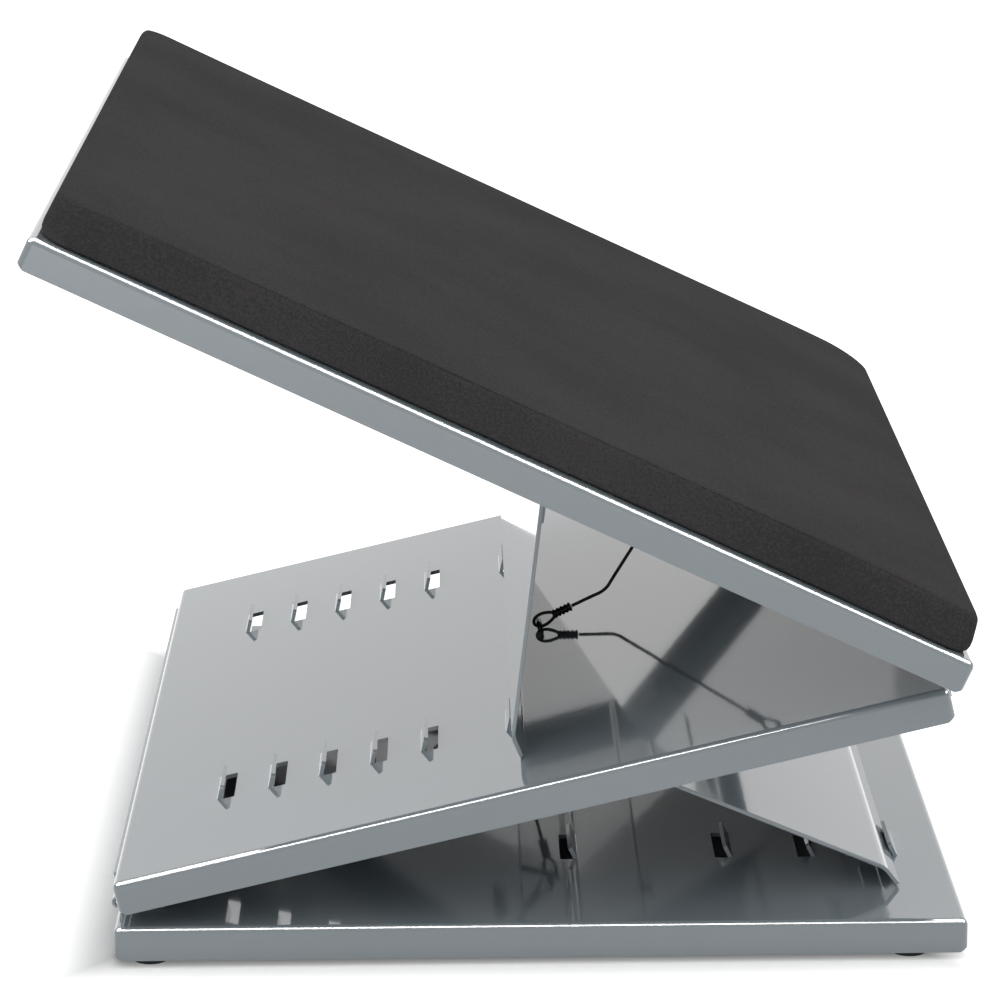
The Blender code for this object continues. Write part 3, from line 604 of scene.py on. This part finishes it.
def round_cornered_block(length, width):
    """A block round a tray, its lower corners rounded off and the rounding drawn out along Y."""
    squeezed = (width / 2 + BLOCK_MARGIN) / CORNER_STRETCH
    block = add_block((-BLOCK_MARGIN, -squeezed, -BLOCK_MARGIN),
                      (length + BLOCK_MARGIN, squeezed, TRAY_HEIGHT + BLOCK_MARGIN))
    shape(block, "VERT", lambda vertex: vertex.co.z < 0, bpy.ops.mesh.bevel,
          offset=CORNER_ROUND + 3 * BLOCK_MARGIN, segments=CORNER_STEPS, affect="VERTICES")
    shape(block, "VERT", lambda vertex: True, bpy.ops.transform.resize,
          value=(1, CORNER_STRETCH, 1), center_override=(0, 0, 0))
    return block


def pressed_tray(length, width):
    """The bare pressing: open below, bends and flange corners rounded, its wall grown inward."""
    tray = add_block((0, -width / 2, 0), (length, width / 2, TRAY_HEIGHT))
    shape(tray, "FACE", lambda face: face.center.z < SHEET, bpy.ops.mesh.delete, type="ONLY_FACE")
    shape(tray, "EDGE", lambda edge: max(end.z for end in edge_ends(tray, edge)) > SHEET,
          bpy.ops.mesh.bevel, offset=BEND_RADIUS, segments=BEND_STEPS, affect="EDGES")
    thicken(tray, SHEET, INWARD, even=True)
    join_by(tray, round_cornered_block(length, width), "INTERSECT")
    soften(tray, RIM_SOFTNESS)
    return tray


def lance_slot(side):
    """The rounded slot that one tab leaves in the sheet, beside the tab's root."""
    near, far = sorted((0, side * LANCE_SLOT))
    slot = add_block((near, -LANCE_LENGTH / 2, TRAY_HEIGHT - 2 * SHEET),
                     (far, LANCE_LENGTH / 2, TRAY_HEIGHT + SHEET))

    def upright(edge):
        """Whether an edge runs through the sheet."""
        one, other = edge_ends(slot, edge)
        return abs(one.z - other.z) > SHEET

    shape(slot, "EDGE", upright, bpy.ops.mesh.bevel, offset=SLOT_CORNER, segments=SLOT_STEPS,
          affect="EDGES")
    return slot


def lance_tab(side):
    """One tab, bent up from inside the sheet and leaning over its slot, top corners rounded."""
    low = TRAY_HEIGHT - SHEET / 2
    height = LANCE_HEIGHT + SHEET / 2
    foot = -side * SHEET / 2 * (1 / math.cos(LANCE_LEAN) + math.tan(LANCE_LEAN))
    tab = add_strip(LANCE_SEAT, LANCE_LENGTH - 2 * SEAM, (foot - side * LANCE_SEAT / 2, 0, low))
    shape(tab, "EDGE", lambda edge: all(abs(end.x - foot) < SEAM for end in edge_ends(tab, edge)),
          bpy.ops.mesh.extrude_region_move,
          TRANSFORM_OT_translate={"value": (side * math.tan(LANCE_LEAN) * height, 0, height)})
    shape(tab, "VERT", lambda vertex: vertex.co.z > TRAY_HEIGHT,
          bpy.ops.mesh.bevel, offset=LANCE_CORNER, segments=LANCE_STEPS, affect="VERTICES")
    shape(tab, "EDGE", lambda edge: all(abs(end.x - foot) < SEAM / 2 for end in edge_ends(tab, edge)),
          bpy.ops.mesh.bevel, offset=LANCE_BEND, segments=LANCE_STEPS, affect="EDGES")
    thicken(tab, LANCE_SHEET, BOTH_WAYS, even=False)
    point_out(tab)
    return tab


def lance(tray, roots, side):
    """Cuts the slots and adds the tabs of a tray's settings, two to a setting."""
    slot = lance_slot(side)
    tab = lance_tab(side)
    for root in roots:
        for row in (-LANCE_ROW, LANCE_ROW):
            setting = Matrix.Translation((root, row, 0))
            join_by(tray, copy_of(slot, setting), "DIFFERENCE")
            join_by(tray, copy_of(tab, setting), "UNION")
    discard(slot, tab)


base_tray = pressed_tray(FRAME_LENGTH, FRAME_WIDTH)
lance(base_tray, [root + BASE_HINGE_INSET for root in BASE_ROOTS], side=-1)
level_shading(base_tray)
finish_piece(base_tray, "base_tray_pressing", tray_paint, "base_tray",
             "base", base_place)

middle_tray = pressed_tray(FRAME_LENGTH, FRAME_WIDTH)
lance(middle_tray, MIDDLE_ROOTS, side=1)
level_shading(middle_tray)
finish_piece(middle_tray, "middle_tray_pressing", tray_paint, "middle_tray",
             "middle", middle_place @ Matrix.Translation((HINGE_OFFSET, 0, BASE_HINGE_DROP)))

top_tray = pressed_tray(TOP_LENGTH, TOP_WIDTH)
level_shading(top_tray)
finish_piece(top_tray, "top_tray_pressing", tray_paint, "top_tray", "top",
             top_place @ Matrix.Translation((-TOP_HINGE_OFFSET - TOP_LENGTH, 0, TOP_HINGE_DROP)))

# Rubber feet, their screws and weld nuts: moulded black rubber under the base tray's corners,
# each drawn up by a zinc-plated pan-head screw into a hexagon nut welded under the plate.
FOOT_RADIUS = 0.0065
FOOT_PROUD = 0.0024
FOOT_INSET_HINGE = 0.0124
FOOT_INSET_TOE = 0.0200
FOOT_INSET_SIDE = 0.0090
FOOT_TOP_EDGE = 0.0004
FOOT_TREAD_ROUND = 0.0010
FOOT_TREAD_STEPS = 6
FOOT_SIDES = 48
SCREW_RADIUS = 0.0017
SCREW_HEAD_RADIUS = 0.0032
SCREW_HEAD_HEIGHT = 0.0016
SCREW_HEAD_FLAT = 0.75
SCREW_HEAD_RIM = 0.5
SCREW_HEAD_STEPS = 5
SCREW_SIDES = 32
SCREW_RECESS = 0.0028
RECESS_EDGE = 0.0002
DRIVE_WIDTH = 0.0008
DRIVE_DEPTH = SCREW_HEAD_HEIGHT / 2
NUT_HEIGHT = 0.0030
NUT_ACROSS_FLATS = 0.0075
NUT_SIDES = 6
NUT_SOFTNESS = 0.0003
RUBBER_BLACK = (0.016, 0.016, 0.017, 1.0)
ZINC_GREY = (0.52, 0.53, 0.54, 1.0)
rubber_black = add_grain(plain_material("rubber_black", RUBBER_BLACK, roughness=0.75),
                         scale=1200, bump=0.3, reach=0.0003, roughness=(0.65, 0.85))
zinc = add_grain(plain_material("zinc_plate", ZINC_GREY, roughness=0.28, metallic=1.0),
                 scale=800, bump=0.08, reach=0.0002, roughness=(0.22, 0.38))
foot_ceiling = TRAY_HEIGHT - SHEET - SEAM
nut_low = foot_ceiling - NUT_HEIGHT
foot_top = nut_low - SEAM
screw_bore = SCREW_RADIUS + SEAM
recess_radius = SCREW_HEAD_RADIUS + SEAM
recess_top = SCREW_RECESS - FOOT_PROUD
head_top = recess_top - SEAM


def foot_profile():
    """Down the outside to a rounded tread, then up the screw's recess and bore."""
    outline = [(screw_bore, foot_top), (FOOT_RADIUS - FOOT_TOP_EDGE, foot_top),
               (FOOT_RADIUS, foot_top - FOOT_TOP_EDGE)]
    for step in range(FOOT_TREAD_STEPS + 1):
        a = step / FOOT_TREAD_STEPS * math.pi / 2
        outline.append((FOOT_RADIUS - FOOT_TREAD_ROUND * (1 - math.cos(a)),
                        -FOOT_PROUD + FOOT_TREAD_ROUND * (1 - math.sin(a))))
    return outline + [(recess_radius + RECESS_EDGE, -FOOT_PROUD),
                      (recess_radius, -FOOT_PROUD + RECESS_EDGE),
                      (recess_radius, recess_top), (screw_bore, recess_top)]


def screw_profile():
    """Shank, then a pan head whose edge is rounded and whose face is nearly flat."""
    rim = head_top - SCREW_HEAD_HEIGHT * SCREW_HEAD_RIM
    outline = [(0, foot_ceiling - SEAM), (SCREW_RADIUS, foot_ceiling - SEAM), (SCREW_RADIUS, head_top),
               (SCREW_HEAD_RADIUS, head_top), (SCREW_HEAD_RADIUS, rim)]
    for step in range(1, SCREW_HEAD_STEPS + 1):
        a = step / SCREW_HEAD_STEPS * math.pi / 2
        outline.append((SCREW_HEAD_RADIUS * (SCREW_HEAD_FLAT + (1 - SCREW_HEAD_FLAT) * math.cos(a)),
                        rim - SCREW_HEAD_HEIGHT * (1 - SCREW_HEAD_RIM) * math.sin(a)))
    return outline + [(0, head_top - SCREW_HEAD_HEIGHT)]


def foot_screw():
    """The turned screw with its cross recess sunk in the head."""
    screw = spin_profile(screw_profile(), SCREW_SIDES)
    low = head_top - SCREW_HEAD_HEIGHT
    for half_x, half_y in ((SCREW_RADIUS, DRIVE_WIDTH / 2), (DRIVE_WIDTH / 2, SCREW_RADIUS)):
        bar = add_block((-half_x, -half_y, low - SEAM), (half_x, half_y, low + DRIVE_DEPTH))
        join_by(screw, bar, "DIFFERENCE")
    smooth_below(screw, TURNED_SMOOTH)
    return screw


def add_rod(radius, length, sides, middle=(0, 0, 0), rotation=(0, 0, 0)):
    """A straight bar, along Z unless it is turned, with its turn and place in its mesh."""
    bpy.ops.object.select_all(action="DESELECT")
    bpy.ops.mesh.primitive_cylinder_add(vertices=sides, radius=radius, depth=length,
                                        location=middle, rotation=rotation)
    bpy.ops.object.transform_apply(location=True, rotation=True, scale=True)
    return bpy.context.object


def weld_nut():
    """A hexagon nut, its corners eased, bored for the screw."""
    middle = (0, 0, nut_low + NUT_HEIGHT / 2)
    corner_radius = NUT_ACROSS_FLATS / 2 / math.cos(math.pi / NUT_SIDES)
    nut = add_rod(corner_radius, NUT_HEIGHT, NUT_SIDES, middle)
    soften(nut, NUT_SOFTNESS)
    join_by(nut, add_rod(screw_bore, 3 * NUT_HEIGHT, SCREW_SIDES, middle), "DIFFERENCE")
    smooth_below(nut, TURNED_SMOOTH)
    return nut


foot_side = FRAME_WIDTH / 2 - FOOT_INSET_SIDE
foot_far = FRAME_LENGTH - FOOT_INSET_TOE
foot = spin_profile(foot_profile(), FOOT_SIDES, closed=True)
screw = foot_screw()
nut = weld_nut()
for row, foot_y in (("front", -foot_side), ("back", foot_side)):
    for end, foot_x in (("left", FOOT_INSET_HINGE), ("right", foot_far)):
        foot_place = base_place @ Matrix.Translation((foot_x, foot_y, 0))
        for pattern, name, material, node, slot in (
                (foot, "moulded_foot", rubber_black, "rubber_foot", "rubber"),
                (screw, "pan_head_screw", zinc, "foot_screw", "plated_steel"),
                (nut, "hexagon_nut", zinc, "foot_weld_nut", "plated_steel")):
            finish_piece(copy_of(pattern), f"{name}_{row}_{end}", material, f"{node}_{row}_{end}",
                         "base", foot_place)
discard(foot, screw, nut)

# Piano hinges: thin steel leaves with rolled knuckles, spot-welded to the sheet before painting,
# two between the trays and one at the head of each prop, each turning on a drawn steel pin.
BARREL_RADIUS = 0.0022
PROP_BARREL_RADIUS = 0.0020
PIN_RADIUS = 0.0010
PIN_CLEARANCE = 0.0003
PIN_CHAMFER = PIN_RADIUS / 4
LEAF = 0.0010
LEAF_BEND = 0.8 * LEAF
FOLD_STEPS = 6
FOLD_MATCH = SEAM / 10
HINGE_SIDE_INSET = 0.022
PROP_HINGE_INSET = 0.012
KNUCKLES = 11
KNUCKLE_SIDES = 32
BASE_LEAF_REACH = 0.016
FLANGE_LEAF_REACH = 0.0095
TOP_HINGE_RISE = 0.0002
PROP_OFFSET = SHEET / 2 + SEAM + PROP_BARREL_RADIUS
PROP_AXIS_DROP = SHEET + SEAM + SHEET / 2 + PROP_OFFSET
WING_REACH = 0.027
TRAY_LEAF_REACH = 0.020
NECK_SETBACK = 0.00125
WINDOW_CLEARANCE = 5 * SEAM
LOWER_PROP_PLACE = 0.1697
LOWER_PROP_WIDTH = 0.336
UPPER_PROP_WIDTH = 0.339
leaf_paint = paint("leaf_paint_grey", roughness=0.16)


def bent_flap(path, width, bend, thickness):
    """A flap of sheet drawn out along an XZ path by extruding its edge, its bends rolled."""
    flap = add_strip(1, width)
    for vertex in flap.data.vertices:
        vertex.co.x, vertex.co.z = path[0] if vertex.co.x < 0 else path[1]

    def across(at):
        """A test for the edge that crosses the flap at one point of its path."""
        return lambda edge: all(math.dist((end.x, end.z), at) < FOLD_MATCH
                                for end in edge_ends(flap, edge))

    for start, end in zip(path[1:], path[2:]):
        shape(flap, "EDGE", across(start), bpy.ops.mesh.extrude_region_move,
              TRANSFORM_OT_translate={"value": (end[0] - start[0], 0, end[1] - start[1])})
    for inner in path[1:-1]:
        shape(flap, "EDGE", across(inner), bpy.ops.mesh.bevel, offset=bend, segments=FOLD_STEPS,
              affect="EDGES")
    thicken(flap, thickness, BOTH_WAYS, even=True)
    point_out(flap)
    return flap


def rod_along_y(radius, length):
    """A round bar lying along the hinge direction."""
    return add_rod(radius, length, KNUCKLE_SIDES, rotation=(math.pi / 2, 0, 0))


def hinge_leaf(path, barrel, length, keeps_even, window):
    """One leaf: bent plate and knuckles, notched for the other leaf and bored for the pin."""
    leaf = bent_flap(path, length, LEAF_BEND, LEAF)
    join_by(leaf, rod_along_y(barrel, length), "UNION")
    pitch = length / KNUCKLES
    reach = barrel + SEAM
    for cell in range(1 if keeps_even else 0, KNUCKLES, 2):
        low = -length / 2 + cell * pitch - SEAM / 2 - (reach if cell == 0 else 0)
        high = -length / 2 + (cell + 1) * pitch + SEAM / 2 + (reach if cell == KNUCKLES - 1 else 0)
        join_by(leaf, add_block((-reach, low, -reach), (reach, high, reach)), "DIFFERENCE")
    join_by(leaf, rod_along_y(PIN_RADIUS + PIN_CLEARANCE, 2 * length), "DIFFERENCE")
    if window:
        join_by(leaf, add_block(*window), "DIFFERENCE")
    level_shading(leaf)
    return leaf


def add_hinge(name, leaves, length, barrel, pin_body, pin_place, window=None):
    """The two leaves of a hinge, each on its own body, and its pin. A window cuts the first leaf."""
    for (label, body, place, path), keeps_even in zip(leaves, (True, False)):
        leaf = hinge_leaf(path, barrel, length, keeps_even, window if keeps_even else None)
        finish_piece(leaf, f"{name}_{label}_rolled", leaf_paint, f"{name}_{label}",
                     body, place)
    pin = rod_along_y(PIN_RADIUS, length)
    soften(pin, PIN_CHAMFER)
    smooth_below(pin, FITTING_SMOOTH)
    finish_piece(pin, f"{name}_drawn_pin", zinc, f"{name}_pin", pin_body, pin_place)


tray_hinge_length = FRAME_WIDTH - 2 * HINGE_SIDE_INSET
leaf_middle = BARREL_RADIUS - LEAF / 2
joggle = SEAM + LEAF / 2 - TOP_HINGE_OFFSET
add_hinge("base_hinge",
          [("base_leaf", "base", seat_place, [(0, -leaf_middle), (BASE_LEAF_REACH, -leaf_middle)]),
           ("tray_leaf", "middle", middle_place,
            [(leaf_middle, 0), (leaf_middle, BASE_HINGE_DROP + FLANGE_LEAF_REACH)])],
          tray_hinge_length, BARREL_RADIUS, "base", seat_place)
add_hinge("top_hinge",
          [("middle_leaf", "middle", top_seat_place,
            [(-leaf_middle, 0), (-leaf_middle, -TOP_HINGE_RISE - FLANGE_LEAF_REACH)]),
           ("top_leaf", "top", top_place,
            [(joggle, 0), (joggle, TOP_HINGE_DROP + FLANGE_LEAF_REACH)])],
          tray_hinge_length, BARREL_RADIUS, "middle", top_seat_place)

leaf_under = PROP_AXIS_DROP - SHEET - SEAM - LEAF / 2
wing_middle = PROP_BARREL_RADIUS - LEAF / 2
window_side = STAPLE_WIDTH / 2 + STAPLE_WIRE + WINDOW_CLEARANCE
window_x = LOWER_STAPLE_TRAY - LOWER_PROP_PLACE
window_far = window_x + STAPLE_WIRE + 2 * CABLE_RADIUS + WINDOW_CLEARANCE
staple_window = ((window_x - TRAY_LEAF_REACH, -window_side, 0),
                 (window_far, window_side, PROP_AXIS_DROP))
for prop, side, tray_body, seat, turned_place, plate_width, window in (
        ("lower_prop", 1, "middle", lower_seat_place, lower_prop_place, LOWER_PROP_WIDTH, staple_window),
        ("upper_prop", -1, "top", upper_seat_place, upper_prop_place, UPPER_PROP_WIDTH, None)):
    tray_path = [(-side * TRAY_LEAF_REACH, leaf_under), (-side * NECK_SETBACK, leaf_under),
                 (-side * NECK_SETBACK, 0)]
    wing_path = [(0, side * wing_middle), (WING_REACH, side * wing_middle)]
    add_hinge(f"{prop}_hinge",
              [("tray_leaf", tray_body, seat, tray_path), ("wing", prop, turned_place, wing_path)],
              plate_width - 2 * PROP_HINGE_INSET, PROP_BARREL_RADIUS, tray_body, seat, window)

# Props: two flaps of the same sheet and paint, hung on their hinges, with a lip folded at the toe
# that stands flat on the tray below, behind a pair of tabs.
PROP_START = 0.0030
PROP_BEND = 1.3 * SHEET
LOWER_PROP_LENGTH = 0.11564
UPPER_PROP_LENGTH = 0.10307
LIP_LENGTH = 0.0082
LIP_BEND = math.radians(30)
TOE_CORNER = 0.001
TOE_STEPS = 4


def add_prop(name, length, width, side, place):
    """A prop in its hinge's own frame: flat plate beside the axis, lip bent back over it."""
    offset = side * PROP_OFFSET
    toe_x = length + LIP_LENGTH * math.cos(LIP_BEND)
    toe_z = PROP_OFFSET - LIP_LENGTH * math.sin(LIP_BEND)
    flap = bent_flap([(PROP_START, offset), (length, offset), (toe_x, side * toe_z)],
                     width, PROP_BEND, SHEET)

    def toe_corner(edge):
        """Whether an edge runs through the sheet at one of the lip's two corners."""
        one, other = edge_ends(flap, edge)
        outermost = all(abs(end.y) > width / 2 - SHEET and end.x > toe_x - 2 * SHEET
                        for end in (one, other))
        return (outermost and abs(one.y - other.y) < SEAM
                and abs((one - other).length - SHEET) < SEAM)

    shape(flap, "EDGE", toe_corner, bpy.ops.mesh.bevel, offset=TOE_CORNER, segments=TOE_STEPS,
          affect="EDGES")
    soften(flap, RIM_SOFTNESS)
    level_shading(flap)
    finish_piece(flap, f"{name}_flap", tray_paint, name, name, place)


add_prop("lower_prop", LOWER_PROP_LENGTH, LOWER_PROP_WIDTH, side=1, place=lower_prop_place)
add_prop("upper_prop", UPPER_PROP_LENGTH, UPPER_PROP_WIDTH, side=-1, place=upper_prop_place)

# Foot pad: a block of firm foam in a dark knitted skin, glued to the top tray, its long sides
# drawn in a little between soft corners, with a crease along the top of its walls.
PAD_INSET_TOE = 0.0018
PAD_INSET_HEEL = 0.0015
PAD_INSET_SIDE = 0.0015
PAD_PULL = 0.0035
PAD_PULL_CURVE = 4
PAD_TOE_LEAN = 0.0008
PAD_HEEL_LEAN = 0.0028
PAD_BACK_LEAN = 0.0030
PAD_LEAN_CURVE = 2
PAD_HEEL_SLUMP = 0.0020
PAD_SLUMP_RISE = 3
PAD_SLUMP_CURVE = 12
PAD_CORNER = 0.0120
PAD_BACK_HEEL_CORNER = 0.0220
PAD_LEAST_CORNER = 1 / 3
PAD_SIDE = 0.0150
CREASE_DEPTH = 0.0004
CREASE_FADE = 0.070
CREASE_AT_ENDS = 0.4
LONG_SIDE_FROM = 0.9
PAD_CORNER_STEPS = 12
PAD_SIDE_STEPS = 40
PAD_WALL = ((0.0020, 0), (0.0009, 0.0010), (0.0003, 0.0024), (0, 0.0045), (0, 0.0090),
            (0, 0.0120), (0.0002, 0.0136), (0.0005, 0.0144))
PAD_CREASE = ((0.0008, 0.0148), (0.0010, 0.0151))
PAD_TOP = ((0.0013, 0.0154), (0.0022, 0.0156), (0.0036, 0.0157), (0.0065, 0.0158), (0.012, 0.0159),
           (0.025, 0.0160), (0.050, 0.0162), (0.100, 0.0164))
PAD_SMOOTH = math.radians(60)
PAD_DARK = (0.052, 0.0495, 0.0505, 1.0)
PAD_LIGHT = (0.070, 0.0665, 0.068, 1.0)
pad_skin = add_grain(plain_material("pad_skin_dark", PAD_DARK, roughness=0.9),
                     scale=1100, bump=0.35, reach=0.0004, roughness=(0.82, 0.95),
                     shades=(PAD_DARK, PAD_LIGHT), speckle=0.9)
pad_shader = shader_of(pad_skin)
pad_shader.inputs["Specular IOR Level"].default_value = 0.0
pad_shader.inputs["Sheen Weight"].default_value = 0.045
pad_shader.inputs["Sheen Roughness"].default_value = 0.4
pad_length = TOP_LENGTH - PAD_INSET_TOE - PAD_INSET_HEEL
pad_width = TOP_WIDTH - 2 * PAD_INSET_SIDE


def pad_outline(inset):
    """A rounded rectangle, drawn in by inset, with points along its straight sides too."""
    half_long = pad_length / 2 - inset
    half_wide = pad_width / 2 - inset
    corners = []
    for number, (sx, sy) in enumerate(((1, 1), (-1, 1), (-1, -1), (1, -1))):
        full = PAD_BACK_HEEL_CORNER if number == 0 else PAD_CORNER
        radius = max(full - inset, full * PAD_LEAST_CORNER)
        for step in range(PAD_CORNER_STEPS + 1):
            a = (number + step / PAD_CORNER_STEPS) * math.pi / 2
            corners.append((sx * (half_long - radius) + radius * math.cos(a),
                            sy * (half_wide - radius) + radius * math.sin(a)))
    outline = []
    for index, (x, y) in enumerate(corners):
        outline.append((x, y))
        if index % (PAD_CORNER_STEPS + 1) == PAD_CORNER_STEPS:
            far_x, far_y = corners[(index + 1) % len(corners)]
            for step in range(1, PAD_SIDE_STEPS):
                t = step / PAD_SIDE_STEPS
                outline.append((x + (far_x - x) * t, y + (far_y - y) * t))
    return outline


def pad_ring(inset, height, crease=0.0):
    """One outline of the pad at a height, its sides pulled in, leaning, slumped and creased."""
    rise = min(height / PAD_SIDE, 1.0)
    ring = []
    for x, y in pad_outline(inset):
        along = min(abs(x) / (pad_length / 2), 1.0)
        across = min(abs(y) / (pad_width / 2), 1.0)
        pull = PAD_PULL * (1 - along ** PAD_PULL_CURVE)
        fade = min(1.0, max(0.0, pad_length / 2 - abs(x)) / CREASE_FADE)
        deeper = crease * (fade if across > LONG_SIDE_FROM else CREASE_AT_ENDS)
        lean_x = -PAD_HEEL_LEAN if x > 0 else PAD_TOE_LEAN
        lean_y = -PAD_BACK_LEAN if y > 0 else 0
        slump = PAD_HEEL_SLUMP * rise ** PAD_SLUMP_RISE * along ** PAD_SLUMP_CURVE if x > 0 else 0
        ring.append((x * (1 - 2 * deeper / pad_length) + lean_x * rise * along ** PAD_LEAN_CURVE
                     - pad_length / 2,
                     y * (1 - 2 * (pull + deeper) / pad_width) + lean_y * rise * across ** PAD_LEAN_CURVE,
                     height - slump))
    return ring


def loft(name, rings):
    """A closed piece through rings of equal count, its first and last ring filled."""
    count = len(rings[0])
    faces = [tuple(reversed(range(count)))]
    for level in range(len(rings) - 1):
        for i in range(count):
            j = (i + 1) % count
            faces.append((level * count + i, level * count + j,
                          (level + 1) * count + j, (level + 1) * count + i))
    faces.append(tuple(range((len(rings) - 1) * count, len(rings) * count)))
    mesh = bpy.data.meshes.new(name)
    mesh.from_pydata([place for ring in rings for place in ring], [], faces)
    lofted = bpy.data.objects.new(name, mesh)
    bpy.context.scene.collection.objects.link(lofted)
    return lofted


pad = loft("pad", [pad_ring(*place) for place in PAD_WALL]
           + [pad_ring(*place, CREASE_DEPTH) for place in PAD_CREASE]
           + [pad_ring(*place) for place in PAD_TOP])
smooth_below(pad, PAD_SMOOTH)
finish_piece(pad, "foot_pad_skin", pad_skin, "foot_pad", "top",
             top_place @ Matrix.Translation((-TOP_HINGE_OFFSET - PAD_INSET_HEEL, 0,
                                             TOP_HINGE_DROP + TRAY_HEIGHT + SEAM)))

# Studio: a white floor and backdrop that look evenly lit, with the floor dark under the base, a
# softbox in front, and a broad strip of lamps overhead, whose reflection is the bright line along
# each bend.
WHITE = (1, 1, 1, 1)
FLOOR_SIZE = 14
FLOOR_COLOUR = (0.6, 0.6, 0.6, 1.0)
UNLIT_TO = 0.94
LIT_FROM = 1.10
FLOOR_GLOW = 0.95
BACKDROP_LEVEL = 1.0
SKY_LEVEL = 0.75
SOFTBOX_PLACE = (-0.2, -1.9, 1.5)
SOFTBOX_LONG = 2.0
SOFTBOX_WIDE = 1.2
SOFTBOX_POWER = 66
SOFTBOX_LEAN = math.radians(-52)
STRIP_PLACE = (0.0, -0.5, 2.2)
STRIP_LONG = 7.0
STRIP_WIDE = 2.6
STRIP_RADIANCE = 18
STRIP_LEAN = math.radians(-13)


def floor_material():
    """White that glows for the eye and for reflections, but not inside the base tray's outline."""
    material = plain_material("studio_floor_white", FLOOR_COLOUR, roughness=0.9)
    tree = material.node_tree
    shader = shader_of(material)
    shader.inputs["Specular IOR Level"].default_value = 0.0
    shader.inputs["Emission Color"].default_value = WHITE
    rays = tree.nodes.new("ShaderNodeLightPath")
    seen = combine(tree, "MAXIMUM", rays.outputs["Is Camera Ray"], rays.outputs["Is Glossy Ray"])
    place = tree.nodes.new("ShaderNodeTexCoord")
    scaled = tree.nodes.new("ShaderNodeMapping")
    scaled.inputs["Scale"].default_value = (2 / FRAME_LENGTH, 2 / FRAME_WIDTH, 1)
    sides = tree.nodes.new("ShaderNodeVectorMath")
    sides.operation = "ABSOLUTE"
    apart = tree.nodes.new("ShaderNodeSeparateXYZ")
    tree.links.new(place.outputs["Object"], scaled.inputs["Vector"])
    tree.links.new(scaled.outputs["Vector"], sides.inputs[0])
    tree.links.new(sides.outputs["Vector"], apart.inputs["Vector"])
    farther = combine(tree, "MAXIMUM", apart.outputs["X"], apart.outputs["Y"])
    glow = tree.nodes.new("ShaderNodeMapRange")
    glow.inputs["From Min"].default_value = UNLIT_TO
    glow.inputs["From Max"].default_value = LIT_FROM
    glow.inputs["To Max"].default_value = FLOOR_GLOW
    tree.links.new(farther, glow.inputs["Value"])
    lit = combine(tree, "MULTIPLY", seen, glow.outputs["Result"])
    tree.links.new(lit, shader.inputs["Emission Strength"])
    return material


bpy.ops.object.select_all(action="DESELECT")
bpy.ops.mesh.primitive_plane_add(size=FLOOR_SIZE)
floor = bpy.context.object
floor.name = "studio_floor"
floor.data.materials.append(floor_material())

world = bpy.data.worlds.new("studio")
bpy.context.scene.world = world
world.use_nodes = True
world_tree = world.node_tree
backdrop = world_tree.nodes["Background"]
sky = world_tree.nodes.new("ShaderNodeBackground")
for light, level in ((backdrop, BACKDROP_LEVEL), (sky, SKY_LEVEL)):
    light.inputs["Color"].default_value = WHITE
    light.inputs["Strength"].default_value = level
world_rays = world_tree.nodes.new("ShaderNodeLightPath")
world_seen = combine(world_tree, "MAXIMUM", world_rays.outputs["Is Camera Ray"],
                     world_rays.outputs["Is Glossy Ray"])
world_seen = combine(world_tree, "MAXIMUM", world_seen, world_rays.outputs["Is Transmission Ray"])
either = world_tree.nodes.new("ShaderNodeMixShader")
world_tree.links.new(world_seen, either.inputs["Fac"])
world_tree.links.new(sky.outputs["Background"], either.inputs[1])
world_tree.links.new(backdrop.outputs["Background"], either.inputs[2])
world_tree.links.new(either.outputs["Shader"], world_tree.nodes["World Output"].inputs["Surface"])


def add_lamp(name, place, long_side, short_side, power, lean):
    """A rectangular area lamp that looks down, leaning about X."""
    bpy.ops.object.light_add(type="AREA", location=place)
    lamp = bpy.context.object
    lamp.name = name
    lamp.data.shape = "RECTANGLE"
    lamp.data.size = long_side
    lamp.data.size_y = short_side
    lamp.data.energy = power
    lamp.rotation_euler = (lean, 0, 0)
    return lamp


add_lamp("front_softbox", SOFTBOX_PLACE, SOFTBOX_LONG, SOFTBOX_WIDE, SOFTBOX_POWER, SOFTBOX_LEAN)
strip_power = STRIP_RADIANCE * math.pi * STRIP_LONG * STRIP_WIDE
strip = add_lamp("strip_lamps", STRIP_PLACE, STRIP_LONG, STRIP_WIDE, strip_power, STRIP_LEAN)
strip.visible_diffuse = False
